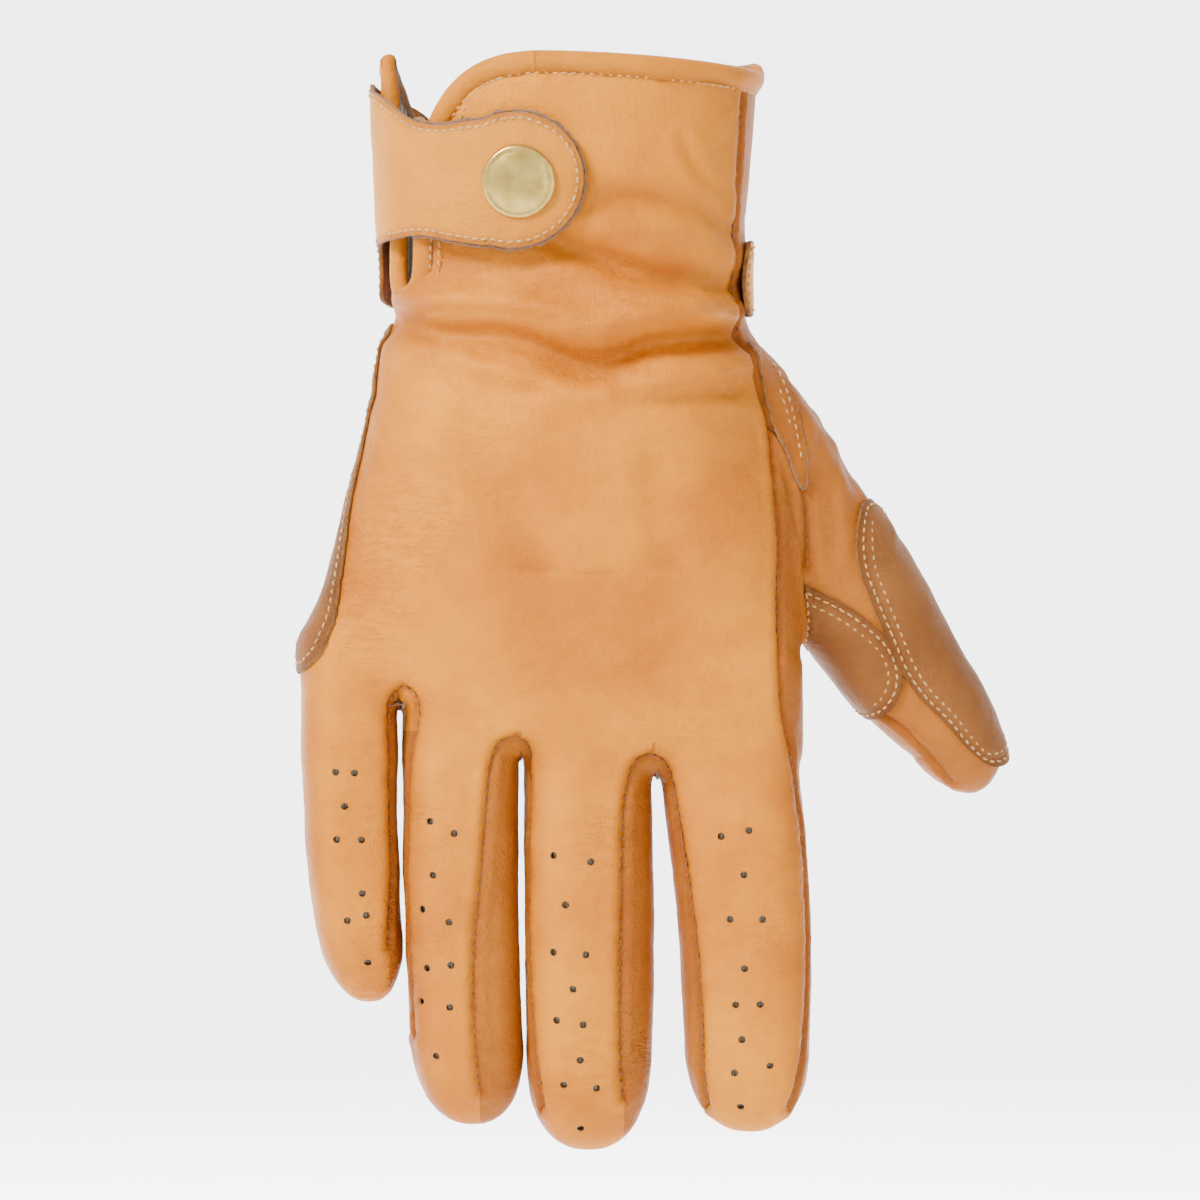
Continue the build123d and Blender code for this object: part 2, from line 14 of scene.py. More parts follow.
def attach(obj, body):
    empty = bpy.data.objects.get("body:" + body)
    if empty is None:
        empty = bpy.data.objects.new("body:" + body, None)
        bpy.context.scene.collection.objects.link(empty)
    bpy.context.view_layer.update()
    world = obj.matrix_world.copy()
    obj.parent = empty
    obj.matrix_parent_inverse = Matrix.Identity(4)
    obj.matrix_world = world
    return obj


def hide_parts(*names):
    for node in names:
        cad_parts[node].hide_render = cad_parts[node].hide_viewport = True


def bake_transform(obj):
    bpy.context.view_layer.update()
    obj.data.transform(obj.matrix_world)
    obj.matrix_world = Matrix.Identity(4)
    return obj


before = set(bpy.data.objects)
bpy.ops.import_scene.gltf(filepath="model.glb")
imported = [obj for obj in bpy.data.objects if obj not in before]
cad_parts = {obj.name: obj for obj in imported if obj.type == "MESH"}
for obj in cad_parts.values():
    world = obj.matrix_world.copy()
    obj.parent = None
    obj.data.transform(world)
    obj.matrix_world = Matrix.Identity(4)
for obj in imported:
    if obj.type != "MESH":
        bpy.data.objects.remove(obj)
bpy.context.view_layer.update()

MM = 0.001
FAR = 99.0  # stands for any distance too great to matter
CELL = 1.3  # size of the first mesh's squares
LEATHER = 1.05  # thickness
LINING_DEPTH = 1.25  # how far under the leather's outside the lining starts
LINING = 0.35

# ---- the glove's form
# Hand and cuff: height, centre x, centre y, half width, half depth, roundness exponent
HAND = [
    (12, 0, 0, 38.4, 24.2, 2.2),
    (0, 0, 0, 38.2, 24.0, 2.2),
    (-20, 0, 0, 37.0, 23.2, 2.2),
    (-46, -0.8, 0, 35.2, 21.8, 2.2),
    (-60, -1.2, -0.2, 37.2, 21.4, 2.25),
    (-80, -1.0, -0.6, 42.0, 20.8, 2.3),
    (-100, -1.2, -1.0, 46.6, 19.4, 2.5),
    (-120, -3.2, -1.2, 49.8, 17.0, 2.7),
    (-132, -4.5, -1.3, 51.2, 15.0, 2.9),
    (-150, -4.6, -1.3, 51.2, 13.6, 3.0),
]
HAND_FOOT = [(-70, -127), (-45, -129), (-34.3, -131), (-11.8, -141), (16.1, -145), (60, -146)]

# Fingers: roll in degrees, spread for meshing, where the tip's round end starts, its length,
# and sections as height, centre x, centre y, half width, half depth
FINGERS = {
    "index": (-4, 9, -203, 17.6, [
        (-110, 31.0, -1.0, 14.6, 13.0),
        (-141, 31.9, -1.0, 14.3, 12.0),
        (-160, 33.9, -0.6, 14.3, 11.6),
        (-175, 35.3, 0.8, 13.6, 11.2),
        (-195, 35.9, 3.6, 13.1, 10.6),
        (-222, 36.4, 8.4, 12.4, 9.6),
    ]),
    "middle": (7, 3, -206, 18.3, [
        (-110, 3.2, -1.0, 13.2, 13.0),
        (-141, 3.2, -1.0, 12.8, 12.0),
        (-160, 3.4, -0.6, 13.2, 11.8),
        (-180, 3.6, 1.2, 13.2, 11.3),
        (-200, 3.6, 4.2, 12.9, 10.7),
        (-226, 3.4, 9.0, 12.2, 9.6),
    ]),
    "ring": (9, -3, -201, 18.0, [
        (-110, -22.9, -1.0, 12.4, 13.0),
        (-138, -22.9, -1.0, 11.7, 11.8),
        (-160, -22.9, -0.2, 11.7, 11.4),
        (-178, -22.7, 1.8, 11.6, 11.0),
        (-196, -22.0, 5.0, 11.4, 10.4),
        (-220, -20.6, 9.8, 11.2, 9.6),
    ]),
    "little": (5, -9, -177, 16.8, [
        (-100, -44.0, -0.8, 11.0, 12.4),
        (-130, -45.7, -0.4, 9.9, 11.2),
        (-146, -45.7, 0.8, 9.8, 10.8),
        (-160, -45.4, 2.4, 9.6, 10.3),
        (-174, -44.4, 4.8, 9.1, 9.6),
        (-195, -41.8, 9.0, 8.2, 8.8),
    ]),
}
SPREAD_TOP = {"index": -143.5, "middle": -141, "ring": -139, "little": -129.5}
FINGER_TOP = {"index": -124, "middle": -124, "ring": -122, "little": -119}
FINGER_ROUNDNESS = 2.7
THUMB_ROUNDNESS = 2.35
TIP_ROUNDNESS = 2.3
FINGERS_BELOW = -105  # no finger reaches higher than this

# Thumb, in its own frame: distance along it, centre across, half width, half depth
THUMB_BASE = np.array([34.5, 6.0, -68.8])
THUMB_AXIS = np.array([0.516, 0.09, -0.852])
THUMB_OUT = np.array([0.855, 0.0, 0.518])
THUMB_TIP = 76.2, 21.8  # where the round end starts, and its length
THUMB_START = -14
THUMB = [
    (-14, -2.0, 7.0, 9.0),
    (-6, -2.0, 10.4, 11.0),
    (4, -1.8, 11.8, 12.2),
    (16, -1.2, 12.6, 12.8),
    (26, -1.4, 12.5, 12.8),
    (40, -0.9, 13.3, 12.4),
    (54, -0.9, 13.0, 11.8),
    (70, -0.5, 11.5, 10.9),
    (82, 1.3, 9.7, 9.8),
    (100, 4.2, 6.2, 7.6),
]

# How softly the forms run into one another
FOOT_BLEND = 9
ROOT_BLEND = 4.5
THUMB_BLEND = 8
THUMB_START_BLEND = 6
BETWEEN_FINGERS_BLEND = 1.2


def unit(v):
    """Directions of length 1."""
    return v / np.maximum(np.linalg.norm(v, axis=-1, keepdims=True), 1e-9)


def lengths(v):
    return np.linalg.norm(v, axis=1)


def bell(x, width):
    """1 where x is 0, fading to 0 beyond a width."""
    return np.exp(-((x / width) ** 2))


def distances(line):
    """How far along a line each of its points is."""
    return np.concatenate([[0], np.cumsum(lengths(np.diff(line, axis=0)))])


def looped(line):
    """A closed line with its first point again at its end."""
    return np.vstack([line, line[:1]])


THUMB_AXIS = unit(THUMB_AXIS)
THUMB_OUT = unit(THUMB_OUT)
THUMB_BACK = np.cross(THUMB_AXIS, THUMB_OUT)


def smooth_table(rows, soft):
    """Sections at even heights, rounded over the length soft. Returns heights and values."""
    rows = np.array(sorted(rows), float)
    at = np.arange(rows[0, 0] - soft, rows[-1, 0] + soft, 0.5)
    kernel = np.hanning(int(soft / 0.5) | 1)
    kernel /= kernel.sum()
    columns = []
    for i in range(1, rows.shape[1]):
        column = np.interp(at, rows[:, 0], rows[:, i])
        padded = np.pad(column, len(kernel) // 2, mode="edge")
        columns.append(np.convolve(padded, kernel, mode="valid"))
    return at, columns


def read_table(table, at):
    return [np.interp(at, table[0], column) for column in table[1]]


def oval(x, y, a, b, n):
    """How far out a point is as a share of a superellipse, and the two slopes of that share."""
    ux = np.abs(x) / a + 1e-6
    uy = np.abs(y) / b + 1e-6
    share = (ux**n + uy**n) ** (1 / n)
    return share, (ux / share) ** (n - 1) / a, (uy / share) ** (n - 1) / b


def smooth_min(a, b, k):
    h = np.clip(k - np.abs(a - b), 0, None) / k
    return np.minimum(a, b) - h * h * k / 4


def smooth_max(a, b, k):
    return -smooth_min(-a, -b, k)


def smoothstep(x):
    x = np.clip(x, 0, 1)
    return x * x * (3 - 2 * x)


HAND_TABLE = smooth_table(HAND, 22)
FINGER_TABLES = {name: smooth_table(f[4], 16) for name, f in FINGERS.items()}
THUMB_TABLE = smooth_table(THUMB, 12)


def spread_at(name, z):
    """How far a finger is moved aside while meshing, so that neighbours stay apart."""
    return FINGERS[name][1] * np.clip((SPREAD_TOP[name] - z) / 22, 0, 1) ** 0.7


def hand_field(p):
    cx, cy, a, b, n = read_table(HAND_TABLE, p[:, 2])
    share, sx, sy = oval(p[:, 0] - cx, p[:, 1] - cy, a, b, n)
    side = (share - 1) / np.hypot(sx, sy)
    foot = np.interp(p[:, 0], *zip(*HAND_FOOT)) - p[:, 2]
    return smooth_max(side, foot, FOOT_BLEND)


def finger_field(p, name, spread=1.0):
    roll, _, tip_start, tip_length, _ = FINGERS[name]
    z = p[:, 2]
    cx, cy, a, b = read_table(FINGER_TABLES[name], z)
    turn = math.radians(roll)
    dx = p[:, 0] - cx - spread * spread_at(name, z)
    dy = p[:, 1] - cy
    u = dx * math.cos(turn) + dy * math.sin(turn)
    v = dy * math.cos(turn) - dx * math.sin(turn)
    field = capped(oval(u, v, a, b, FINGER_ROUNDNESS), (tip_start - z) / tip_length, tip_length)
    return field + 0.8 * np.clip(z - FINGER_TOP[name], 0, None)


def capped(section, t, length):
    """The field of a tube with a rounded end: t is 0 where the end starts and 1 at the tip."""
    share, su, sv = section
    t = np.clip(t, 0, None)
    m = TIP_ROUNDNESS
    whole = (share**m + t**m) ** (1 / m)
    grow = (share / whole) ** (m - 1)
    slope = np.sqrt((grow * su) ** 2 + (grow * sv) ** 2 + ((t / whole) ** (m - 1) / length) ** 2)
    return (whole - 1) / slope


def thumb_local(p):
    """Points in the thumb's frame: across, towards the back, along."""
    d = p - THUMB_BASE
    return d @ THUMB_OUT, d @ THUMB_BACK, d @ THUMB_AXIS


def thumb_field(p):
    across, back, along = thumb_local(p)
    cx, a, b = read_table(THUMB_TABLE, along)
    section = oval(across - cx, back, a, b, THUMB_ROUNDNESS)
    field = capped(section, (along - THUMB_TIP[0]) / THUMB_TIP[1], THUMB_TIP[1])
    return smooth_max(field, THUMB_START - along, THUMB_START_BLEND)


def glove_field(p):
    fingers = finger_field(p, "index")
    for name in ("middle", "ring", "little"):
        fingers = smooth_min(fingers, finger_field(p, name), BETWEEN_FINGERS_BLEND)
    return smooth_min(smooth_min(hand_field(p), fingers, ROOT_BLEND), thumb_field(p), THUMB_BLEND)


def limb_field(name):
    """The field of the hand with one finger or the thumb, where they really stand."""
    if name == "hand":
        return hand_field
    if name == "thumb":
        return lambda p: smooth_min(hand_field(p), thumb_field(p), THUMB_BLEND)
    return lambda p: smooth_min(hand_field(p), finger_field(p, name, 0.0), ROOT_BLEND)


def gradient(field, p, step=0.15):
    """Unit outward directions of a field."""
    parts = []
    for i in range(3):
        move = np.zeros(3)
        move[i] = step
        parts.append(field(p + move) - field(p - move))
    return unit(np.stack(parts, 1))


def settle(field, p, offset=0.0, rounds=2):
    """Moves points on to the surface at a distance from a field's own."""
    for _ in range(rounds):
        p = p - gradient(field, p) * (field(p) - offset)[:, None]
    return p


# ---- meshing
def surface_net(field, low, high, cell):
    """Quads over the zero surface of a field, one vertex to each crossed cell."""
    axes = [np.arange(low[i], high[i] + cell, cell) for i in range(3)]
    shape = tuple(len(a) for a in axes)
    values = np.empty(shape)
    for i, x in enumerate(axes[0]):
        yy, zz = np.meshgrid(axes[1], axes[2], indexing="ij")
        p = np.stack([np.full(yy.size, x), yy.ravel(), zz.ravel()], 1)
        values[i] = field(p).reshape(yy.shape)
    inside = values < 0
    corners = np.stack([
        inside[a:shape[0] - 1 + a, b:shape[1] - 1 + b, c:shape[2] - 1 + c]
        for a in (0, 1) for b in (0, 1) for c in (0, 1)
    ])
    crossed = corners.any(0) & ~corners.all(0)
    number = np.full(crossed.shape, -1)
    cells = np.argwhere(crossed)
    number[crossed] = np.arange(len(cells))
    points = np.array(low) + (cells + 0.5) * cell
    quads = []
    for axis in range(3):
        u, v = (axis + 1) % 3, (axis + 2) % 3
        first = np.take(inside, range(shape[axis] - 1), axis)
        second = np.take(inside, range(1, shape[axis]), axis)
        edges = np.argwhere(first != second)
        keep = (edges[:, u] > 0) & (edges[:, v] > 0)
        keep &= (edges[:, u] < shape[u] - 1) & (edges[:, v] < shape[v] - 1)
        edges = edges[keep]
        turned = first[tuple(edges.T)]
        ring = []
        for du, dv in ((1, 1), (0, 1), (0, 0), (1, 0)):
            cell_at = edges.copy()
            cell_at[:, u] -= du
            cell_at[:, v] -= dv
            ring.append(number[tuple(cell_at.T)])
        ring = np.stack(ring, 1)
        ring[~turned] = ring[~turned][:, ::-1]
        quads.append(ring)
    quads = np.concatenate(quads)
    return points, quads[(quads >= 0).all(1)]


def edge_list(quads):
    """Each edge once, and for each quad its four edges' numbers."""
    pairs = np.sort(np.stack([quads, np.roll(quads, -1, 1)], 2).reshape(-1, 2), 1)
    edges, back = np.unique(pairs, axis=0, return_inverse=True)
    return edges, back.reshape(-1, 4)


def relax(points, quads, field, rounds):
    """Evens out the squares while the points stay on the surface."""
    edges, _ = edge_list(quads)
    for _ in range(rounds):
        total = np.zeros_like(points)
        count = np.zeros(len(points))
        for a, b in ((0, 1), (1, 0)):
            np.add.at(total, edges[:, a], points[edges[:, b]])
            np.add.at(count, edges[:, a], 1)
        points = 0.4 * points + 0.6 * total / np.maximum(count, 1)[:, None]
        points = settle(field, points, rounds=1)
    return points


def divide(points, quads):
    """Splits every quad into four."""
    edges, of_quad = edge_list(quads)
    middles = points[edges].mean(1)
    centres = points[quads].mean(1)
    edge_at = len(points) + of_quad
    centre_at = len(points) + len(edges) + np.arange(len(quads))
    parts = [
        np.stack([quads[:, i], edge_at[:, i], centre_at, edge_at[:, i - 1]], 1) for i in range(4)
    ]
    return np.concatenate([points, middles, centres]), np.concatenate(parts)


def vertex_normals(points, quads):
    """The outward direction at each point of a mesh."""
    cross = np.cross(points[quads[:, 2]] - points[quads[:, 0]], points[quads[:, 3]] - points[quads[:, 1]])
    total = np.zeros_like(points)
    for i in range(4):
        np.add.at(total, quads[:, i], cross)
    return unit(total)


# ---- seams and folds
def curve(points, step=1.0):
    """A smooth line through points, with a point every step."""
    p = np.array(points, float)
    ends = np.vstack([2 * p[0] - p[1], p, 2 * p[-1] - p[-2]])
    out = []
    for i in range(len(p) - 1):
        a, b, c, d = ends[i:i + 4]
        t = np.linspace(0, 1, 12, endpoint=False)[:, None]
        bent = 2 * a - 5 * b + 4 * c - d + t * (3 * (b - c) + d - a)
        out.append(b + 0.5 * t * (c - a + t * bent))
    out = np.vstack(out + [p[-1:]])
    return resample(out, step)


def resample(line, step, closed=False):
    """A line with its points an even step apart."""
    line = np.array(line, float)
    if closed:
        line = looped(line)
    run = distances(line)
    count = max(int(round(run[-1] / step)), 2)
    at = np.linspace(0, run[-1], count + 1)
    out = np.stack([np.interp(at, run, line[:, i]) for i in range(line.shape[1])], 1)
    return out[:-1] if closed else out


def to_line(q, line, reach=9.0):
    """For flat points, the vector to the nearest place on a line, zero length past reach."""
    away = np.full(q.shape, np.nan)
    near = ((q > line.min(0) - reach) & (q < line.max(0) + reach)).all(1)
    part = q[near]
    best = np.full(len(part), np.inf)
    found = np.zeros_like(part)
    for a, b in zip(line[:-1], line[1:]):
        along = b - a
        t = np.clip((part - a) @ along / (along @ along), 0, 1)
        gap = a + t[:, None] * along - part
        size = (gap * gap).sum(1)
        better = size < best
        best[better] = size[better]
        found[better] = gap[better]
    away[near] = found
    return away


def gap_to(q, line, reach=9.0, missing=FAR):
    """Distance of flat points from a line, and the value missing past reach."""
    return np.nan_to_num(lengths(to_line(q, line, reach)), nan=missing)


# Seams that show from the back, as x and height. A finger's two seams start at its crotches.
SIDE_SEAM = [
    (35, -4), (34.2, -20), (33.4, -36), (33.6, -50), (35.7, -60.8), (38.4, -68.4), (40.2, -74.5),
    (41.2, -86), (42.2, -99.6), (42.2, -113.3), (42.7, -131), (44.6, -141), (45.8, -149), (47.0, -157.3),
    (47.6, -165), (48.0, -180), (47.7, -199.5), (46.4, -209), (44.4, -215.5),
]
GUSSET_SEAM = [(40.5, -75.2), (43.5, -78.5), (46.3, -84), (48, -92.8), (48.4, -104)]
FINGER_SEAMS = {
    ("little", 1): [
        (-34.3, -128.5), (-36.6, -131), (-37.2, -135), (-37.2, -141.5), (-37.0, -154), (-36.9, -169),
        (-37.6, -182),
    ],
    ("ring", -1): [
        (-34.3, -128.5), (-32.0, -130.5), (-31.4, -134), (-32.3, -140), (-33.1, -147), (-33.6, -160),
        (-33.4, -180), (-32.2, -200),
    ],
    ("ring", 1): [
        (-11.8, -138.8), (-14.8, -140.3), (-16.4, -144.5), (-17.3, -152), (-18.6, -168), (-20, -183),
        (-19.9, -199), (-18.9, -211.7),
    ],
    ("middle", -1): [
        (-11.8, -138.8), (-9.2, -140.6), (-8.5, -147.6), (-8.7, -158.5), (-8.9, -174.5), (-8.4, -193.8),
        (-7.2, -206.6), (-6.0, -215),
    ],
    ("middle", 1): [
        (16.1, -142.5), (13.2, -144.0), (11.7, -147.5), (10.6, -155.2), (10.3, -171.3), (10, -187.4),
        (10, -203.4), (10.6, -213),
    ],
    ("index", -1): [
        (16.1, -142.5), (18.9, -144.4), (20.7, -150), (22, -158.5), (24.4, -173.5), (26.2, -191.6),
        (26.8, -206.7), (27.8, -215),
    ],
}
THUMB_SEAM = [(57.0, -131.5), (65.2, -135.3), (70.8, -140), (78.2, -148.2)]

# Folds on the back of the hand: depth, width, then the line
FOLD_DEPTH = 1.45
FOLDS = [
    (1.5, 2.6, [(-6, -37.5), (5.4, -41.4), (14.1, -44.9), (22.7, -46.6), (33.1, -47.8)]),
    (2.2, 3.0, [
        (-36.1, -54.6), (-23.2, -56.7), (-13.6, -57.1), (-4.8, -60.2), (3.4, -63.2), (10.9, -61.5),
        (19.1, -58.1), (34.7, -56.7),
    ]),
    (1.0, 2.6, [(-27.9, -62.2), (-20.4, -66.9), (-12.3, -69), (-5.5, -68.6)]),
    (0.9, 2.4, [(9.4, -68.4), (17.7, -70.6), (25.9, -69.6), (34.7, -68)]),
    (1.0, 2.4, [(7.2, -29.4), (19.9, -30.4), (28.5, -32.8), (32.5, -35.6)]),
    (-1.4, 4.5, [(-28, -49.5), (-12, -50), (2, -53.5), (14, -53), (27, -52)]),
    (0.5, 1.4, [(22, -17), (26, -24), (31, -29)]),
    (0.7, 5.0, [(-24, -77), (-15, -90), (-7, -102), (-1, -114)]),
    (0.6, 4.0, [(0, -113), (6, -122), (11, -133)]),
    (0.7, 5.5, [(14, -84), (17, -100), (25, -118), (28, -128)]),
    (-0.5, 6.0, [(-34, -112), (-22, -118), (-8, -116)]),
    (0.45, 1.2, [(-30, -52), (-14, -52.5), (-2, -54.5)]),
    (0.4, 1.1, [(10, -50), (22, -51.5), (32, -51)]),
    (0.4, 1.2, [(-20, -60.5), (-8, -63.5), (4, -66.5)]),
    (0.35, 1.0, [(13, -64.5), (22, -64), (33, -62.5)]),
]


class Place:
    """Where points lie on the glove: the limb that each is on, and back or palm side."""

    def __init__(self, p):
        self.limb = np.full(len(p), "hand", dtype="<U6")
        self.side = p[:, 1] - read_table(HAND_TABLE, p[:, 2])[1]
        where = np.flatnonzero(p[:, 2] < FINGERS_BELOW)
        nearest = np.stack([finger_field(p[where], name, 0.0) for name in FINGERS]).argmin(0)
        for i, name in enumerate(FINGERS):
            of_finger = where[nearest == i]
            self.limb[of_finger] = name
            _, cy, _, _ = read_table(FINGER_TABLES[name], p[of_finger, 2])
            self.side[of_finger] = p[of_finger, 1] - cy
        _, back, along = thumb_local(p)
        field = thumb_field(p)
        rest = np.minimum(hand_field(p), fingers_field(p))
        on_thumb = (field < rest + 0.4) & (along > 2)
        self.limb[on_thumb] = "thumb"
        self.side[on_thumb] = -back[on_thumb]
        self.along = along


def fingers_field(p):
    """The field of the four fingers, where they really stand."""
    out = np.full(len(p), FAR)
    low = p[:, 2] < FINGERS_BELOW
    out[low] = np.min([finger_field(p[low], name, 0.0) for name in FINGERS], 0)
    return out


EDGE_ON = 0.12  # leather steeper than this is seen too nearly edge-on to measure across


def on_surface_distance(p, n, line, side, back=True):
    """Distance along the leather to a line that is drawn from the front, and the way to it."""
    away = to_line(p[:, (0, 2)], line)
    flat = lengths(away)
    way = np.stack([away[:, 0], 0 * flat, away[:, 1]], 1) / np.maximum(flat, 1e-6)[:, None]
    tangent = way - (way * n).sum(1, keepdims=True) * n
    steep = np.maximum(lengths(tangent), EDGE_ON)
    distance = flat / steep
    wrong = (side > 1.5) if back else (side < -1.5)
    distance[wrong | np.isnan(distance)] = FAR
    return distance, tangent / (steep**2)[:, None] * flat[:, None]


def palm_seam(name, hand_side):
    """A finger's seam on its palm side, from the same crotch."""
    roll = FINGERS[name][0]
    tip = FINGERS[name][2] - 10
    first = FINGER_SEAMS[(name, hand_side)][0]
    line = [first]
    for z in np.arange(first[1] - 6, tip, -8):
        cx, _, a, _ = read_table(FINGER_TABLES[name], z)
        line.append((float(cx + hand_side * 0.66 * a - roll * 0.14), float(z)))
    return line


SEAMS = {  # each seam's line, and whether it is on the back
    ("side",): (curve(SIDE_SEAM), True),
    ("gusset",): (curve(GUSSET_SEAM), True),
    ("thumb",): (curve(THUMB_SEAM), True),
}
for (name, hand_side), line in FINGER_SEAMS.items():
    SEAMS[(name, hand_side, "back")] = (curve(line), True)
    SEAMS[(name, hand_side, "palm")] = (curve(palm_seam(name, hand_side)), False)


def rolling(p, scale, seed, stretch):
    """Soft noise from -1 to 1 at each point."""
    q = p * np.array(stretch) / scale + seed
    return np.array([noise.noise(Vector(v)) for v in q])


SEAM_DEPTH, SEAM_WIDTH = 0.75, 0.55
SEAM_RIDGE, SEAM_RIDGE_AT, SEAM_RIDGE_WIDTH = 0.28, 2.0, 1.1
FOLD_LIP, FOLD_LIP_AT, FOLD_LIP_WIDTH = 0.5, 2.1, 1.2  # as shares of the fold's depth and width
FOLD_REACH = 16
WRIST_Z, WRIST_SPAN = -54, 22  # where the leather creases most
UNEVEN = [  # soft unevenness: size, seed, stretch, height, and height at the wrist, near seams, on the thumb
    (17, 3.1, (0.5, 1, 1.5), 0.35, 1.0, 0, 0),
    (7, 8.2, (0.6, 1, 1.4), 0.12, 0.45, 0, 0),
    (5.5, 4.4, (1.5, 1, 0.45), 0, 0, 0, 1.1),
    (3.0, 5.7, (1, 1, 1.9), 0.05, 0.14, 0.16, 0),
]
THUMB_CREASES = 2, 50  # the stretch of the thumb with lengthwise creases


def relief(p, place, seam_gap):
    """How far the leather stands out of its smooth form: seams, folds and soft creases."""
    out = SEAM_RIDGE * bell(seam_gap - SEAM_RIDGE_AT, SEAM_RIDGE_WIDTH)
    out -= SEAM_DEPTH * bell(seam_gap, SEAM_WIDTH)
    back = smoothstep((3 - place.side) / 8)
    for depth, width, line in FOLDS:
        depth *= FOLD_DEPTH
        away = gap_to(p[:, (0, 2)], curve(line), FOLD_REACH)
        ends = np.array(line)[:, 0]
        fade = smoothstep((p[:, 0] - ends.min() + 5) / 9) * smoothstep((ends.max() + 5 - p[:, 0]) / 9)
        fade = np.where(place.limb == "hand", fade * back, 0)
        out -= depth * fade * bell(away, width)
        out += FOLD_LIP * depth * fade * bell(away - FOLD_LIP_AT * width, FOLD_LIP_WIDTH * width)
    wrist = bell(p[:, 2] - WRIST_Z, WRIST_SPAN)
    near_seam = bell(seam_gap, 5)
    start, end = THUMB_CREASES
    creased = smoothstep((end - place.along) / 14) * smoothstep((place.along - start) / 14)
    creased = np.where(place.limb == "thumb", creased, 0)
    for scale, seed, stretch, everywhere, at_wrist, at_seam, at_thumb in UNEVEN:
        height = everywhere + at_wrist * wrist + at_seam * near_seam + at_thumb * creased
        out += rolling(p, scale, seed, stretch) * height
    return out


# ---- the leather's panels
MESH_BOX = (-74, -34, -230), (98, 36, 9)


def make_leather():
    """The whole outside surface, before it is cut into panels."""
    points, quads = surface_net(glove_field, *MESH_BOX, CELL)
    points = settle(glove_field, points, rounds=3)
    points = relax(points, quads, glove_field, 3)
    points, quads = divide(points, quads)
    points = settle(glove_field, points, rounds=1)
    fields = np.stack([finger_field(points, name) for name in FINGERS])
    nearest = fields.argmin(0)
    for i, name in enumerate(FINGERS):
        own = (nearest == i) & (points[:, 2] < SPREAD_TOP[name])
        points[own, 0] -= spread_at(name, points[own, 2])
    return points, quads


# Where each finger's leather starts to bend
HINGE_Z = {"index": -143, "middle": -143, "ring": -140.5, "little": -132}
PANEL_STEP = 3  # a finger's own panels start this far above its bend
THUMB_PANEL = 46  # the thumb's own panels start this far along it
FINGER_PANELS = {
    ("index", -1): "index_fourchette",
    ("middle", -1): "middle_fourchette_ring_side",
    ("middle", 1): "middle_fourchette_index_side",
    ("ring", -1): "ring_fourchette_little_side",
    ("ring", 1): "ring_fourchette_middle_side",
    ("little", 1): "little_fourchette",
}


GUSSET_TOP = -75
THUMB_FRONT_SEAM = (60, 64, 72.3, 92), (-16, -13, -8.1, -4.5)  # distances along the thumb and across it


def line_x(line, z):
    """The x of a line at given heights."""
    line = np.array(line, float)
    order = np.argsort(line[:, 1])
    return np.interp(z, line[order, 1], line[order, 0])


def panel_names(p, limb, side, along):
    """The panel that each face belongs to, from its centre."""
    out = np.full(len(p), "hand_back", dtype="<U30")
    x, z = p[:, 0], p[:, 2]
    beyond_side_seam = x > line_x(SIDE_SEAM, z)
    out[(side > -1) | beyond_side_seam] = "hand_palm"
    across = (p - THUMB_BASE) @ THUMB_OUT
    on_thumb = limb == "thumb"
    right_of_gusset = (x > line_x(GUSSET_SEAM, z)) | (side > 0) | (z > GUSSET_TOP)
    out[on_thumb & right_of_gusset] = "thumb_base"
    far = on_thumb & (along > THUMB_PANEL)
    seam = np.interp(along, *THUMB_FRONT_SEAM)
    out[far] = np.where((side > 1) | (across < seam), "thumb_front", "thumb_back")[far]
    for name in FINGERS:
        own = (limb == name) & (z < HINGE_Z[name] + PANEL_STEP)
        front = side > (3 if name == "little" else 0)
        if name == "index":
            front |= beyond_side_seam
        out[own] = np.where(front, name + "_front", name + "_back")[own]
        for hand_side in (-1, 1):
            if (name, hand_side) not in FINGER_PANELS:
                continue
            back_line = line_x(FINGER_SEAMS[(name, hand_side)], z)
            palm_line = line_x(palm_seam(name, hand_side), z)
            line = np.where(side < 0, back_line, palm_line)
            outside = own & ((x - line) * hand_side > 0)
            out[outside] = FINGER_PANELS[(name, hand_side)]
    return out


HOLE_RADIUS = 0.78
HOLE_SINK = 0.12  # how far the leather is pressed in at a hole
HOLE_MISS = 1.5  # a hole with no leather this near is not on the panel
HOLES = {  # the perforations, as x and height
    "little": [
        (-48.2, -146), (-44.4, -146.2), (-46.4, -153.1), (-48.1, -159.9), (-43, -160), (-46, -176.6),
        (-42.1, -175.5), (-42.9, -171), (-41.9, -185.4),
    ],
    "ring": [
        (-29, -156.1), (-24, -158.5), (-28.4, -167.1), (-30.6, -174.1), (-25.1, -176.7), (-29.7, -186.2),
        (-24.7, -185.6), (-30.9, -193.1), (-25, -194.3), (-27.8, -204.4),
    ],
    "middle": [
        (-3.8, -163), (3.9, -164.3), (-1.3, -173.1), (-3.9, -182.9), (2.9, -183.4), (0.2, -190.5),
        (-3.2, -196.9), (2.3, -197.8), (1.7, -205.1), (-1.7, -210.3), (5.1, -211), (1.8, -219.5),
    ],
    "index": [
        (30.4, -159.1), (36.1, -157.9), (35.1, -167), (32.3, -176.1), (38.9, -176.1), (35.3, -186.2),
        (33.5, -193.7), (38.5, -193.6), (34.8, -200.9), (40.6, -206.3), (33.3, -207.8), (34.6, -215.0),
    ],
}


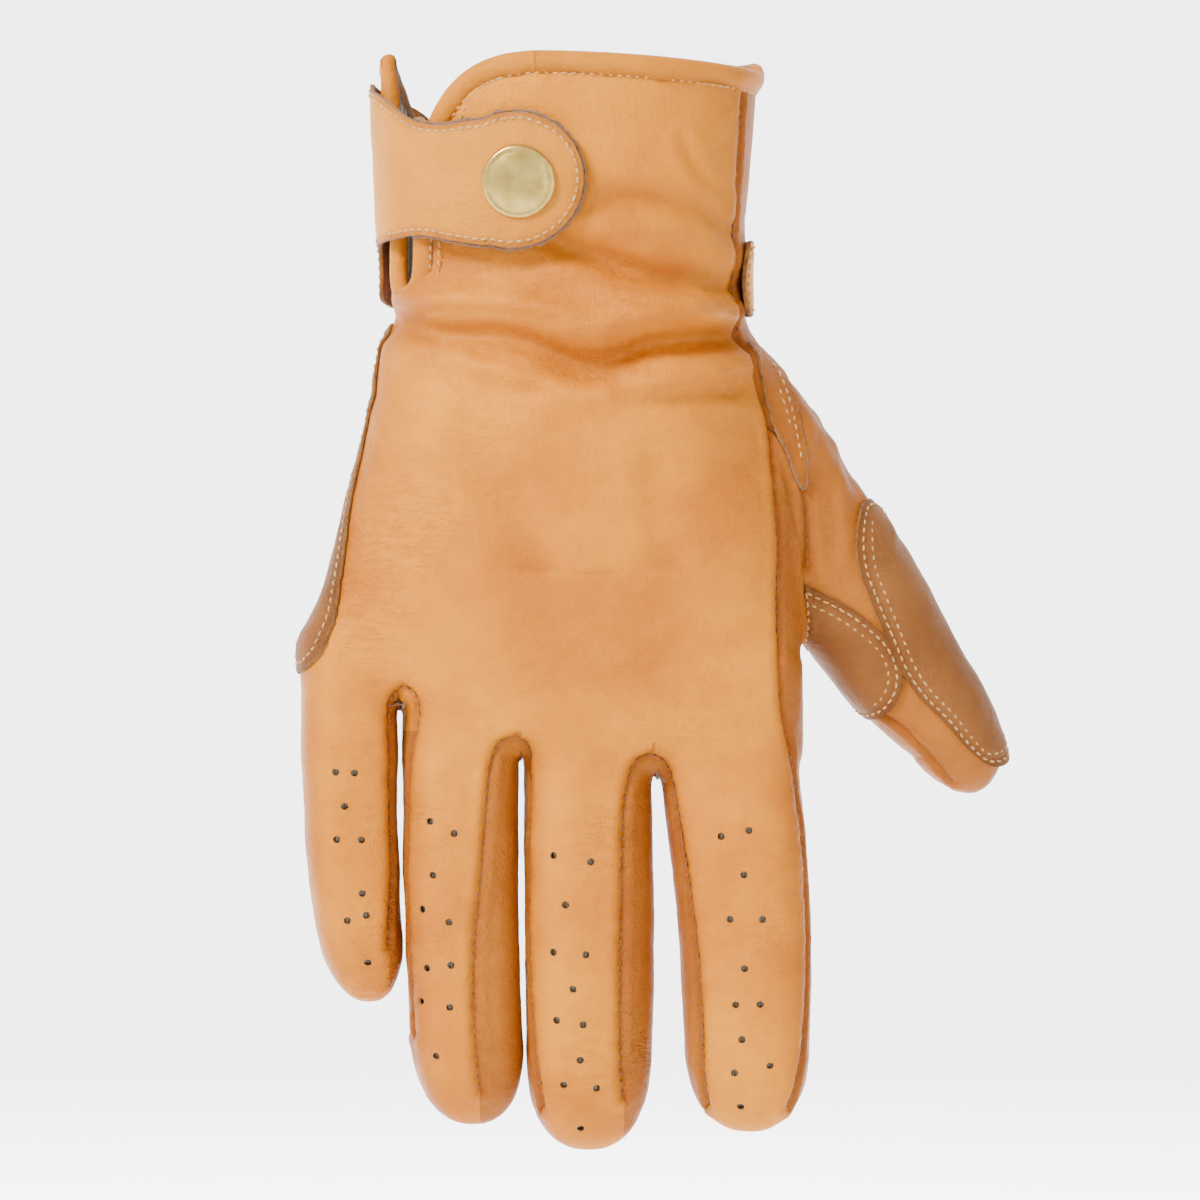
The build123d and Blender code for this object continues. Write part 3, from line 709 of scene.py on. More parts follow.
def project(flat, field, back=True, reach=45):
    """Points on a field's surface, from x and height as seen from the back or the palm side."""
    way = 1 if back else -1
    p = np.stack([flat[:, 0], np.full(len(flat), -way * reach), flat[:, 1]], 1).astype(float)
    for _ in range(40):
        p[:, 1] += way * np.clip(field(p) * 0.8, -1.5, 8)
        p[:, 1] = way * np.minimum(way * p[:, 1], 3)
    return p


# ---- the cuff, unrolled
ROWS = np.arange(-132, 13, 1.0)
TURNS = np.linspace(-2.5 * math.pi, 0.5 * math.pi, 541)


def section_points(z, turn):
    cx, cy, a, b, n = read_table(HAND_TABLE, z)
    x = cx + a * np.sign(np.cos(turn)) * np.abs(np.cos(turn)) ** (2 / n)
    y = cy + b * np.sign(np.sin(turn)) * np.abs(np.sin(turn)) ** (2 / n)
    return np.stack([x, y, np.broadcast_to(z, x.shape)], -1)


def girth_rows():
    """For each height, the distance round the cuff from the middle of its back."""
    rows = []
    for z in ROWS:
        p = section_points(np.full(len(TURNS), z), TURNS)
        run = distances(p)
        rows.append(run - np.interp(-math.pi / 2, TURNS, run))
    return np.array(rows)


GIRTH = girth_rows()


def round_hand(flat):
    """Points on the hand's outside, from the distance round it (positive to the thumb) and height."""
    row = np.clip(flat[:, 1] - ROWS[0], 0, len(ROWS) - 1.001)
    low = row.astype(int)
    share = (row - low)[:, None]
    runs = (1 - share) * GIRTH[low] + share * GIRTH[low + 1]
    turn = np.array([np.interp(s, r, TURNS) for s, r in zip(flat[:, 0], runs)])
    return section_points(flat[:, 1], turn)


def round_at(x, z, side="back"):
    """The distance round the hand of a place seen at x and height z. The palm side, and then
    the thumb edge beyond it, go on from the back past the little finger's edge."""
    run = GIRTH[int(np.clip(round(z - ROWS[0]), 0, len(ROWS) - 1))]
    first = {"back": -1.0, "palm": -2.0, "thumb edge": -2.5}[side] * math.pi
    last = {"back": 0.0, "palm": -1.0, "thumb edge": -2.0}[side] * math.pi
    own = (TURNS >= first) & (TURNS <= last)
    place = section_points(np.full(own.sum(), float(z)), TURNS[own])[:, 0]
    order = np.argsort(place)
    return float(np.interp(x, place[order], run[own][order]))


# ---- pieces
def new_object(name, points, faces, materials, indices=None, normals=None):
    """A mesh object from points in millimetres. Its materials read their own place as "rest"."""
    mesh = bpy.data.meshes.new(name)
    mesh.from_pydata((np.asarray(points) * MM).tolist(), [], [list(map(int, f)) for f in faces])
    mesh.polygons.foreach_set("use_smooth", [True] * len(mesh.polygons))
    for material in materials:
        mesh.materials.append(material)
    if indices is not None:
        mesh.polygons.foreach_set("material_index", np.asarray(indices, np.int32))
    rest = mesh.attributes.new("rest", "FLOAT_VECTOR", "POINT")
    rest.data.foreach_set("vector", (np.asarray(points) * MM).astype(np.float32).ravel())
    if normals is not None:
        mesh.normals_split_custom_set_from_vertices(normals.tolist())
    obj = bpy.data.objects.new(name, mesh)
    bpy.context.collection.objects.link(obj)
    return obj


def shade(obj, name, values):
    """A number at each point that the materials read, such as wear and painted shade."""
    layer = obj.data.attributes.new(name, "FLOAT", "POINT")
    layer.data.foreach_set("value", np.asarray(values, np.float32))


def bend(obj, limb):
    """A piece of the hand follows the hand's body and the paddle follows the strap's; any other piece only
    has its place baked into its points.
    """
    if limb == "hand":
        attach(obj, "hand")
    elif limb == "thumb":
        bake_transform(obj)
    elif limb == "strap":
        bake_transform(obj)
    elif limb == "paddle":
        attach(obj, "strap")
    else:
        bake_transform(obj)


def open_edges(faces):
    """The sides that only one face has, in that face's direction."""
    sides = np.stack([faces, np.roll(faces, -1, 1)], 2).reshape(-1, 2)
    _, first, number = np.unique(np.sort(sides, 1), axis=0, return_index=True, return_counts=True)
    return sides[first[number == 1]]


def shell(outer, inner, quads):
    """A closed skin between two sheets of points with the same squares. Keeps only used points."""
    used, again = np.unique(quads, return_inverse=True)
    quads = again.reshape(quads.shape)
    count = len(used)
    rim = open_edges(quads)
    walls = np.stack([rim[:, 1], rim[:, 0], rim[:, 0] + count, rim[:, 1] + count], 1)
    faces = quads.tolist() + (quads[:, ::-1] + count).tolist() + walls.tolist()
    kinds = [0] * len(quads) + [1] * len(quads) + [1] * len(walls)
    return np.vstack([outer[used], inner[used]]), faces, kinds, used


def limb_of(panel):
    """The finger that a panel belongs to, or the thumb, or the hand."""
    for name in FINGERS:
        if panel.startswith(name):
            return name
    return "thumb" if panel in ("thumb_back", "thumb_front") else "hand"


def punch(points, normals, quads, names):
    """Opens the round holes in the backs of the fingers: the faces to drop, and the moved points."""
    centres = points[quads].mean(1)
    drop = np.zeros(len(quads), bool)
    for name, holes in HOLES.items():
        own = np.flatnonzero(names == name + "_back")
        spots = project(np.array(holes, float), limb_field(name))
        for spot in spots:
            gaps = lengths(centres[own] - spot)
            if gaps.min() > HOLE_MISS:
                continue
            inside = own[gaps < HOLE_RADIUS]
            drop[inside] = True
            ring = np.unique(quads[inside])
            n = normals[ring].mean(0)
            d = points[ring] - spot
            up = d @ n
            flat = d - up[:, None] * n
            points[ring] = spot + unit(flat) * HOLE_RADIUS + (up - HOLE_SINK)[:, None] * n
    return drop


LEATHER_STOP = 1.0, 1.4  # how far short of the mouth's edge and of the vent's edge, under the roll
LINING_STOP = 3.0, 3.0


def inside_edges(p, stop):
    """Which points are clear of the mouth's edge and of the vent."""
    return (p[:, 2] < mouth_height(p) - stop[0]) & ~in_vent(p, stop[1])


def make_panels():
    """Cuts the leather into its panels, with their thickness, and lines them."""
    smooth, quads = make_leather()
    count = len(smooth)
    coarse = quads_of_first_mesh(quads)
    base_normals = vertex_normals(smooth, quads)
    place = Place(smooth)
    gap = np.full(count, FAR)
    pull = np.zeros_like(smooth)
    for line, back in SEAMS.values():
        distance, way = on_surface_distance(smooth, base_normals, line, place.side, back)
        nearer = distance < gap
        gap[nearer] = distance[nearer]
        pull[nearer] = way[nearer]

    limbs = place.limb[quads[:, 0]]
    names = panel_names(smooth[quads].mean(1), limbs, place.side[quads].mean(1), place.along[quads].mean(1))
    seam_points = border_points(quads, names, count) & (gap < 1.0)
    smooth[seam_points] += pull[seam_points]
    gap[seam_points] = 0

    height = relief(smooth, place, gap)
    soft = relief(smooth, place, np.full(count, FAR))
    outside = smooth + base_normals * height[:, None]
    normals = vertex_normals(outside, quads)
    inside = smooth + base_normals * (soft - LEATHER)[:, None]

    keep = inside_edges(smooth[quads].mean(1), LEATHER_STOP) & ~punch(outside, normals, quads, names)
    # Darker near the seams, partly as wear and partly as painted shade, and painted shade in the hollows of
    # the folds.
    wear_and_painted_shade = bell(gap, 1.6) * 0.8 + np.clip(-soft, 0, 1.6) * 0.35
    # Painted shade: darker where the leather faces sideways, on the sides of the hand and fingers.
    burnish_and_side_shade = smoothstep(np.abs(base_normals[:, 0]) * 1.4 - 0.35)
    for panel in np.unique(names):
        piece = quads[keep & (names == panel)]
        points, faces, kinds, used = shell(outside, inside, piece)
        both = np.vstack([normals[used], -normals[used]])
        obj = new_object(panel, points, faces, [LOOKS[panel_look(panel)], LOOKS["suede"]], kinds, both)
        shade(obj, "wear_and_painted_shade", np.tile(wear_and_painted_shade[used], 2))
        shade(obj, "burnish_and_side_shade", np.tile(burnish_and_side_shade[used], 2))
        bend(obj, limb_of(panel))
        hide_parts(panel)

    lining_top = smooth + base_normals * (soft - LINING_DEPTH)[:, None]
    lining_under = smooth + base_normals * (soft - LINING_DEPTH - LINING)[:, None]
    centres = smooth[coarse].mean(1)
    limbs = place.limb[coarse[:, 0]]
    side = np.zeros(len(coarse))
    names = panel_names(centres, limbs, side, place.along[coarse].mean(1))
    owners = np.array([limb_of(name) for name in names])
    keep = inside_edges(centres, LINING_STOP)
    for limb in ("hand", "thumb", *FINGERS):
        piece = coarse[keep & (owners == limb)]
        points, faces, _, _ = shell(lining_top, lining_under, piece)
        obj = new_object(limb + "_lining_knit", points, faces, [LOOKS["knit"]])
        bend(obj, limb)
        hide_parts(limb + "_lining")


def quads_of_first_mesh(quads):
    """The squares before they were divided: each is the four first corners that share a centre."""
    quarter = len(quads) // 4
    return np.stack([quads[i * quarter:(i + 1) * quarter, 0] for i in range(4)], 1)


def border_points(quads, names, count):
    """Points where two panels meet."""
    code = np.unique(names, return_inverse=True)[1]
    low = np.full(count, 999)
    high = np.full(count, -1)
    for i in range(4):
        np.minimum.at(low, quads[:, i], code)
        np.maximum.at(high, quads[:, i], code)
    return low != high


def panel_look(panel):
    """The look of a panel's outside."""
    if "fourchette" in panel:
        return "gusset"
    return "palm" if panel in ("hand_palm", "thumb_base", "thumb_back") or "front" in panel else "back"


# ---- the mouth and the vent
MOUTH_BACK, MOUTH_PALM = 0.3, -0.7  # heights
MOUTH_FALL = 0.00125  # how the back's edge curves down towards the thumb
MOUTH_DIP = 13  # how deep the palm side dips by the vent
MOUTH_HALF_WIDTH, MOUTH_HALF_DEPTH = 38.2, 24


def mouth_height(p):
    """The cuff's edge: nearly level on the back, dipping by the vent on the palm side."""
    x, y = p[:, 0], p[:, 1]
    back = MOUTH_BACK - MOUTH_FALL * np.clip(x + 12, 0, None) ** 2
    palm = MOUTH_PALM - MOUTH_DIP * smoothstep((x + 38.6) / 7.5) * (1 - smoothstep((x + 24) / 22))
    share = smoothstep((y + 3) / 5)
    return back * (1 - share) + palm * share


VENT_AT = np.array([-34.6, -9.8, 0.0])
VENT_ACROSS = np.array([0.579, -0.815, 0.0])
VENT_OUT = np.array([-0.815, -0.579, 0.0])
VENT_EDGE = [  # across and height: down the palm side, round the foot, up and out to the mouth
    (-7.0, 1.5), (-5.6, -4), (-4.2, -12), (-3.4, -22), (-3.0, -34), (-3.0, -44.0), (-2.1, -46.3), (0, -47.2),
    (2.1, -46.3), (3.0, -44.0), (3.6, -34), (5.4, -24), (8.0, -14.5), (11.6, -8.4), (16.6, -3.4),
    (22, -0.6), (27, 0.3),
]
VENT_ABOVE = [(30, 14), (-7, 14)]  # closes the slot's outline above the mouth
VENT_DEPTH = 15


def vent_local(p):
    """Points across the vent and in height, and how far out they are from its middle."""
    d = p - VENT_AT
    return np.stack([d @ VENT_ACROSS, d[:, 2]], 1), d @ VENT_OUT


def inside_outline(q, outline):
    """Which flat points lie inside a closed outline."""
    inside = np.zeros(len(q), bool)
    ends = np.roll(outline, -1, 0)
    for (ax, ay), (bx, by) in zip(outline, ends):
        if ay == by:
            continue
        crosses = (ay > q[:, 1]) != (by > q[:, 1])
        inside ^= crosses & (q[:, 0] < (bx - ax) * (q[:, 1] - ay) / (by - ay) + ax)
    return inside


def in_vent(p, grow):
    """Points in the vent's slot, or within grow of its edge."""
    q, depth = vent_local(p)
    edge = curve(VENT_EDGE)
    outline = np.vstack([edge, VENT_ABOVE])
    near = lengths(to_line(q, edge)) < grow
    return (np.abs(depth) < VENT_DEPTH) & (inside_outline(q, outline) | near)


# ---- rolled hem, patches, strap
ROLL_STEP = 0.9
ROLL_OUTSIDE = 8  # the section's first sides, from its outer foot on, are smooth leather
ROLL_ON_LEATHER = 3  # the section's first points lie on the leather
ROLL_STANDS = 0.1
ROLL_SWELL = 0.16  # how much its thickness wanders
ROLL = [  # the rolled edge's cross-section: from its lip into the leather, and out of it
    (4.6, 0.02), (3.9, 0.42), (3.1, 0.95), (2.2, 1.3), (1.2, 1.32), (0.3, 0.85), (-0.15, 0.0), (-0.2, -0.9),
    (0.2, -1.75), (1.2, -2.2), (2.4, -2.15), (3.6, -1.8), (4.6, -1.3),
]
# How dark each point of the section is painted: at its foot, where the roll meets the leather, and inside
# the lip as painted shade, and a little at the lip.
ROLL_WEAR_AND_SHADE = [0.9, 0.5, 0.1, 0, 0, 0, 0.1, 0.3, 0.3, 0.3, 0.3, 0.3, 0.3]


def rolled_rings(path, field):
    """The rolled edge's cross-sections along a closed path, its lip on the path."""
    ahead = unit(np.roll(path, -1, 0) - np.roll(path, 1, 0))
    out = gradient(field, path)
    inward = unit(np.cross(ahead, out))
    wander = np.array([noise.noise(Vector(p) * 0.22) for p in path])
    swell = (1 + ROLL_SWELL * wander)[:, None]
    rings = [path + (inward * into + out * (up + ROLL_STANDS)) * swell for into, up in ROLL]
    for column in range(ROLL_ON_LEATHER):
        rings[column] = settle(field, rings[column], ROLL[column][1] + ROLL_STANDS)
    return np.stack(rings, 1), inward


def roll_piece(name, rings, cad_node):
    """One stretch of the rolled edge."""
    count, across = rings.shape[:2]
    faces = []
    for i in range(count - 1):
        a, b = i * across, (i + 1) * across
        for j in range(across):
            k = (j + 1) % across
            faces.append((a + k, b + k, b + j, a + j))
    faces.append(tuple(range(across)))
    faces.append(tuple((count - 1) * across + j for j in range(across))[::-1])
    kinds = [int(i % across >= ROLL_OUTSIDE) for i in range((count - 1) * across)] + [1, 1]
    obj = new_object(name, rings.reshape(-1, 3), faces, [LOOKS["roll"], LOOKS["suede"]], kinds)
    shade(obj, "wear_and_painted_shade", np.tile(ROLL_WEAR_AND_SHADE, count))
    shade(obj, "burnish_and_side_shade", np.full(count * across, 0.15))
    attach(obj, "hand")
    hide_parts(cad_node)


STITCH_RINGS, STITCH_SIDES = 5, 6
STITCH_TAPER = np.array([0.5, 0.95, 1.0, 0.95, 0.5])
STITCH_SHAKE, STITCH_LEAN = 0.12, 0.08
STITCH_BOW, STITCH_SINK = 1.5, 0.6  # of the thread's radius
SHORTEST_ROW = 4  # points


def stitches(name, rows, limb, length=1.4, pitch=1.85, radius=0.22, look="thread", depth=0.12):
    """Thread in rows. A row is its points, the leather's outward directions there, and if it closes."""
    rings, sides = STITCH_RINGS, STITCH_SIDES
    points = []
    faces = []
    for line, outs, closed in rows:
        if closed:
            line, outs = looped(line), looped(outs)
        if len(line) < SHORTEST_ROW:
            continue
        run = distances(line)
        count = max(int(run[-1] / pitch), 1)
        for i in range(count):
            middle = (i + 0.5) * run[-1] / count
            shake = STITCH_SHAKE * math.sin(12.9 * i + len(points))
            at = middle + np.linspace(-0.5, 0.5, rings) * (length + shake)
            spine = np.stack([np.interp(at, run, line[:, k]) for k in range(3)], 1)
            up = unit(np.stack([np.interp(at, run, outs[:, k]) for k in range(3)], 1))
            ahead = unit(spine[-1] - spine[0])
            across = unit(np.cross(up, ahead))
            bow = np.sin(np.linspace(0, math.pi, rings))
            spine = spine + up * (bow * STITCH_BOW * radius - depth - STITCH_SINK * radius)[:, None]
            lean = STITCH_LEAN * math.sin(7.3 * i)
            spine = spine + across * (np.linspace(-1, 1, rings) * lean)[:, None]
            thick = radius * STITCH_TAPER
            start = len(points)
            for j in range(rings):
                for k in range(sides):
                    turn = 2 * math.pi * k / sides
                    out = across[j] * math.cos(turn) + up[j] * math.sin(turn)
                    points.append(spine[j] + out * thick[j])
            for j in range(rings - 1):
                for k in range(sides):
                    a, b = start + j * sides + k, start + j * sides + (k + 1) % sides
                    faces.append((a, b, b + sides, a + sides))
            faces.append(tuple(start + k for k in range(sides))[::-1])
            faces.append(tuple(start + (rings - 1) * sides + k for k in range(sides)))
    obj = new_object(name, np.array(points), faces, [LOOKS[look]])
    bend(obj, limb)


def inset(outline, distance):
    """A closed outline moved inwards."""
    ahead = unit(np.roll(outline, -1, 0) - np.roll(outline, 1, 0))
    inward = np.stack([-ahead[:, 1], ahead[:, 0]], 1)
    area = np.sum(outline[:, 0] * np.roll(outline[:, 1], -1) - np.roll(outline[:, 0], -1) * outline[:, 1])
    if area < 0:
        inward = -inward
    moved = outline + inward * distance
    gaps = lengths(to_line(moved, looped(outline), 20))
    return moved[gaps > distance * 0.93]


def fill(outline, spacing):
    """Triangles that fill a closed flat outline, whose points come first."""
    low, high = outline.min(0), outline.max(0)
    grid = []
    for j, y in enumerate(np.arange(low[1], high[1], spacing * 0.87)):
        shift = spacing / 2 if j % 2 else 0
        grid.extend((x + shift, y) for x in np.arange(low[0], high[0], spacing))
    grid = np.array(grid)
    grid = grid[inside_outline(grid, outline)]
    grid = grid[gap_to(grid, looped(outline), 20) > 0.6 * spacing]
    flat = np.vstack([outline, grid])
    ring = [list(range(len(outline)))]
    points, _, faces, *_ = geometry.delaunay_2d_cdt([Vector(v) for v in flat], [], ring, 1, 1e-5)
    return np.array([tuple(v) for v in points]), np.array(faces)


# How a cut piece's top is shaped, each as height and width
ROW_FURROW, EDGE_PRESS, CROWN, GRAIN = (0.26, 0.75), (0.22, 0.5), (0.12, 7), (0.14, 6)


def sheet(name, outline, lay, spacing, lift, thick, look, limb, seed, row=1.5, fuzz=0.22, spread=0.5):
    """A cut piece of leather with raw edges, laid on the glove. lay(flat points, height) places it.
    It is pressed in along its row of thread, and its edge is fuzzy and spreads outwards."""
    flat, faces = fill(outline, spacing)
    gap = gap_to(flat, looped(outline), 30, 30)
    pressed = ROW_FURROW[0] * bell(gap - row, ROW_FURROW[1]) + EDGE_PRESS[0] * bell(gap, EDGE_PRESS[1])
    crown = CROWN[0] * smoothstep(gap / CROWN[1])
    grain = np.array([noise.noise(Vector((*v / GRAIN[1], seed))) for v in flat]) * GRAIN[0]
    top = lay(flat, lift + thick - pressed + crown + grain)
    under = lay(flat, np.full(len(flat), lift))
    count = len(flat)
    rim = open_edges(faces)
    ring, again = np.unique(rim, return_inverse=True)
    again = again.reshape(rim.shape)
    middle = (top[ring] + under[ring]) / 2
    tangent = np.zeros((count, 3))
    for end in (0, 1):
        np.add.at(tangent, rim[:, end], top[rim[:, 1]] - top[rim[:, 0]])
    outward = unit(np.cross(unit(tangent[ring]), unit(top[ring] - under[ring])))
    rough = np.array([noise.noise(Vector(v) * 1.7 + Vector((seed, 0, 0))) for v in middle])
    middle = middle + outward * (spread + fuzz * 2 * rough)[:, None]
    points = np.vstack([top, under, middle])
    mids = 2 * count + again
    upper = np.stack([rim[:, 1], rim[:, 0], mids[:, 0], mids[:, 1]], 1)
    lower = np.stack([mids[:, 1], mids[:, 0], rim[:, 0] + count, rim[:, 1] + count], 1)
    all_faces = faces.tolist() + (faces[:, ::-1] + count).tolist() + upper.tolist() + lower.tolist()
    kinds = [0] * len(faces) + [1] * (len(faces) + 2 * len(rim))
    obj = new_object(name, points, all_faces, [LOOKS[look], LOOKS["suede"]], kinds)
    # Darker at the raw edge, partly as wear and partly as painted shade, and painted shade in the furrow
    # along the row of thread.
    wear_and_painted_shade = bell(gap, 0.9) + 0.45 * bell(gap - row, 0.5)
    shade(obj, "wear_and_painted_shade", np.concatenate([wear_and_painted_shade, wear_and_painted_shade, np.ones(len(middle))]))
    shade(obj, "burnish_and_side_shade", np.full(len(points), 0.35 if look == "patch" else 0.1))
    mark_rim_sharp(obj, count, rim)
    bend(obj, limb)
    return obj


def mark_rim_sharp(obj, count, rim):
    """The cut edge is crisp: its corners with both faces of the leather don't round off."""
    wanted = {tuple(sorted(pair)) for pair in rim.tolist()}
    wanted |= {tuple(sorted((a + count, b + count))) for a, b in rim.tolist()}
    sharp = obj.data.attributes.new("sharp_edge", "BOOLEAN", "EDGE")
    flags = [tuple(sorted(e.vertices)) in wanted for e in obj.data.edges]
    sharp.data.foreach_set("value", flags)


def row_on(outline, lay, distance, height, start=0.0, end=1.0):
    """A row of thread inside an outline, over part of its length."""
    line = inset(outline, distance)
    first, last = int(start * len(line)), int(end * len(line))
    part = np.take(line, range(first, last), axis=0, mode="wrap")
    heights = np.full(len(part), height)
    points = lay(part, heights)
    outs = unit(lay(part, heights + 0.6) - points)
    return points, outs, (start, end) == (0.0, 1.0)


def lay_on(field, start):
    """Makes a lay(): start(flat) gives points near the place, which settle over the leather."""
    def lay(flat, height):
        points = settle(field, start(flat), 0.0, rounds=4)
        normals = gradient(field, points)
        bumps = relief(points, Place(points), np.full(len(points), FAR))
        return points + normals * (np.asarray(height) + bumps)[:, None]
    return lay


def round_thumb(flat):
    """Points by the distance round the thumb from the middle of its back, and along it."""
    along = flat[:, 1]
    cx, a, b = read_table(THUMB_TABLE, along)
    turn = flat[:, 0] / THUMB_RADIUS
    end = np.clip((along - THUMB_TIP[0]) / THUMB_TIP[1], 0, 0.99)
    shrink = (1 - end**TIP_ROUNDNESS) ** (1 / TIP_ROUNDNESS)
    across = cx + a * shrink * np.sin(turn)
    back = b * shrink * np.cos(turn)
    sideways = np.outer(across, THUMB_OUT) + np.outer(back, THUMB_BACK)
    return THUMB_BASE + sideways + np.outer(along, THUMB_AXIS)


THUMB_RADIUS = 12.5
PATCH_LIFT, PATCH_THICK = 0.05, 1.0
FIRST_ROW, SECOND_ROW = (1.2, 0.9), (2.9, 0.98)  # how far inside the edge, and how high
TEARDROP = [  # degrees round the thumb from its back, and distance along it
    (58, 31.6), (40, 33.4), (24, 37.5), (13, 43.2), (8, 49.5), (3, 57.5), (-2, 65), (-2, 72), (2, 78.5),
    (4, 86), (14, 91), (42, 93), (80, 92), (98, 86), (103, 74), (104, 62), (103, 50), (98, 40), (82, 33.4),
]
SADDLE = [
    (-44, 37), (-30, 40.9), (-14, 46.6), (-3, 52.2), (4, 58.9), (0, 64.4), (-14, 68.6), (-36, 70.8),
    (-65, 70.6), (-92, 69), (-118, 66), (-136, 60), (-140, 54.5), (-122, 52.2), (-95, 51.4), (-74, 49.4),
    (-59, 44), (-51, 39),
]


def closed_curve(points, spacing):
    """A smooth closed outline through points, with a point every spacing."""
    p = np.array(points, float)
    line = curve(np.vstack([p[-2:], p, p[:3]]), 0.25)
    first = lengths(line - p[0])
    half = len(line) // 2
    start = first[:half].argmin()
    end = half + first[half:].argmin()
    return resample(line[start:end], spacing, closed=True)


def thumb_outline(points, spacing=0.75):
    return closed_curve([(math.radians(t) * THUMB_RADIUS, s) for t, s in points], spacing)


def make_thumb_patches():
    """The teardrop on the thumb's back and the saddle over its fork."""
    lay = lay_on(limb_field("thumb"), round_thumb)
    outline = thumb_outline(TEARDROP)
    obj = sheet("thumb_teardrop_patch", outline, lay, 0.8, PATCH_LIFT, PATCH_THICK, "patch", "thumb", 1.0)
    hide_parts("thumb_patch")
    rows = [row_on(outline, lay, *FIRST_ROW), row_on(outline, lay, *SECOND_ROW, 0.03, 0.58)]
    stitches("thumb_teardrop_thread", rows, "thumb")
    outline = thumb_outline(SADDLE)
    obj = sheet("thumb_saddle_leather", outline, lay, 0.8, PATCH_LIFT, PATCH_THICK, "patch", "thumb", 2.0)
    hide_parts("thumb_saddle_patch")
    rows = [row_on(outline, lay, *FIRST_ROW), row_on(outline, lay, *SECOND_ROW, 0.0, 0.42)]
    stitches("thumb_saddle_thread", rows, "thumb")


HEEL_EDGE = [  # the raw edge that shows from the back, as x and height
    (-37.6, -54.6), (-38.4, -60), (-40.0, -68), (-42.0, -76), (-43.6, -84), (-45.2, -92.8), (-46.6, -103.1),
    (-47.8, -112.5), (-49.0, -119.0),
]
HEEL_PALM = [(-30, -125), (-12, -118), (-2, -106), (2, -90), (-2, -72), (-12, -60), (-28, -55.5)]
THUMB_HEEL_PALM = [
    (35, -59.5), (24, -58.5), (13, -62), (6, -76), (8, -92), (16, -104), (28, -110), (38, -108), (44, -98),
    (44, -78), (40, -66),
]
THUMB_HEEL_BACK = [
    (36.6, -58.2), (42.2, -63.9), (45.4, -71), (47.2, -79.1), (47.7, -86.5), (46.9, -88.0), (45.0, -83.5),
    (42.6, -78.4), (40.9, -74.2), (39.4, -68.4), (36.9, -61.5),
]


def make_palm_patches():
    """The heel patch on the little finger's side, and the thumb's with its strip on the back."""
    lay = lay_on(limb_field("little"), round_hand)
    outline = [(round_at(x, z), z) for x, z in HEEL_EDGE]
    edge_round = outline[-1][0]
    outline += [(edge_round - 2.5, -123.4), (edge_round - 9, -125.2)]
    outline += [(round_at(x, z, "palm"), z) for x, z in HEEL_PALM]
    outline = closed_curve(outline, 0.9)
    obj = sheet("palm_heel_leather", outline, lay, 1.1, PATCH_LIFT, PATCH_THICK, "patch", "hand", 3.0)
    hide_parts("palm_heel_patch")
    stitches("palm_heel_thread", [row_on(outline, lay, 1.3, 0.9)], "hand")

    field = limb_field("thumb")
    rows = []
    palm_rows = (1.7, 0.9), (3.7, 0.95)
    back_rows = (1.1, 0.85, 0.05, 0.47), (2.3, 0.9, 0.07, 0.45)
    for name, points, back, look, own_rows in (
        ("thumb_heel_leather", THUMB_HEEL_PALM, False, "patch", palm_rows),
        ("thumb_heel_strip", THUMB_HEEL_BACK, True, "palm", back_rows),
    ):
        lay = lay_on(field, lambda flat, back=back: project(flat, field, back))
        outline = closed_curve(points, 0.8)
        obj = sheet(name, outline, lay, 0.95, PATCH_LIFT, 0.95 * PATCH_THICK, look, "hand", 4.0)
        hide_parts("thumb_heel_patch")
        rows += [row_on(outline, lay, *row) for row in own_rows]
    stitches("thumb_heel_thread", rows, "hand")


# ---- strap and snap
PADDLE_AT = (-11.3, -25.8)
PADDLE_RADIUS = 14.0
STRAP_NECK_TOP = [(-20.5, -13.6), (-25.0, -14.2), (-29.7, -13.2), (-33.4, -10.2), (-36.2, -7.4)]
STRAP_NECK_FOOT = [(-36.4, -39.0), (-33.0, -37.4), (-28.5, -37.0), (-23.0, -38.2), (-17.5, -39.2)]
TAB_END = 33.6
STRAP_THICK = 1.15
STRAP_ROW = 1.5
STRAP_LOW = 0.75  # how far its underside stands off, in thicknesses
STRAP_EDGE = -36.9, -26  # where it passes the hand's edge
BAND_TOP = [(-30, -9.5), (-22, -20), (-8, -30), (14, -35.0), (34, -36.6)]
BAND_FOOT = [(34, -53.0), (14, -52.6), (-8, -52.0), (-22, -51.8), (-32, -51.6)]
BACKING_END = -31  # the backing runs from the paddle to this x
SNAP_AT = (-10.15, -26.1)


def strap_outline(spacing=0.9):
    """The whole strap, unrolled: paddle, neck, flare, and the band across the palm side to its tab."""
    x, z = round_at(*PADDLE_AT), PADDLE_AT[1]
    turns = np.radians(np.arange(-108, 118, 9.0))
    paddle = [(x + PADDLE_RADIUS * math.cos(t), z + PADDLE_RADIUS * math.sin(t)) for t in turns]
    edge = round_at(*STRAP_EDGE)
    tab = round_at(TAB_END, -45, "thumb edge")
    top = [(round_at(x, z), z) for x, z in STRAP_NECK_TOP]
    foot = [(round_at(x, z), z) for x, z in STRAP_NECK_FOOT]
    palm_top, palm_foot = ([(round_at(x, z, "palm"), z) for x, z in row] for row in (BAND_TOP, BAND_FOOT))
    band_top = [(edge - 0.5, -5.8), (edge - 4, -4.6)] + palm_top
    band_foot = palm_foot + [(edge - 2.5, -49.5), (edge - 0.4, -43.0)]
    tab_end = [(tab + 1.2, -36.9), (tab, -38.2), (tab, -51.6), (tab + 1.2, -53.0)]
    return closed_curve(paddle + top + band_top + tab_end + band_foot + foot, spacing)


def strap_lift(flat):
    """The strap stands off the leather round the snap, and lies close on the palm side."""
    girth = flat[:, 0]
    return 0.35 + 1.5 * smoothstep((girth + 75) / 25) - 0.5 * smoothstep((girth + 6) / 12)


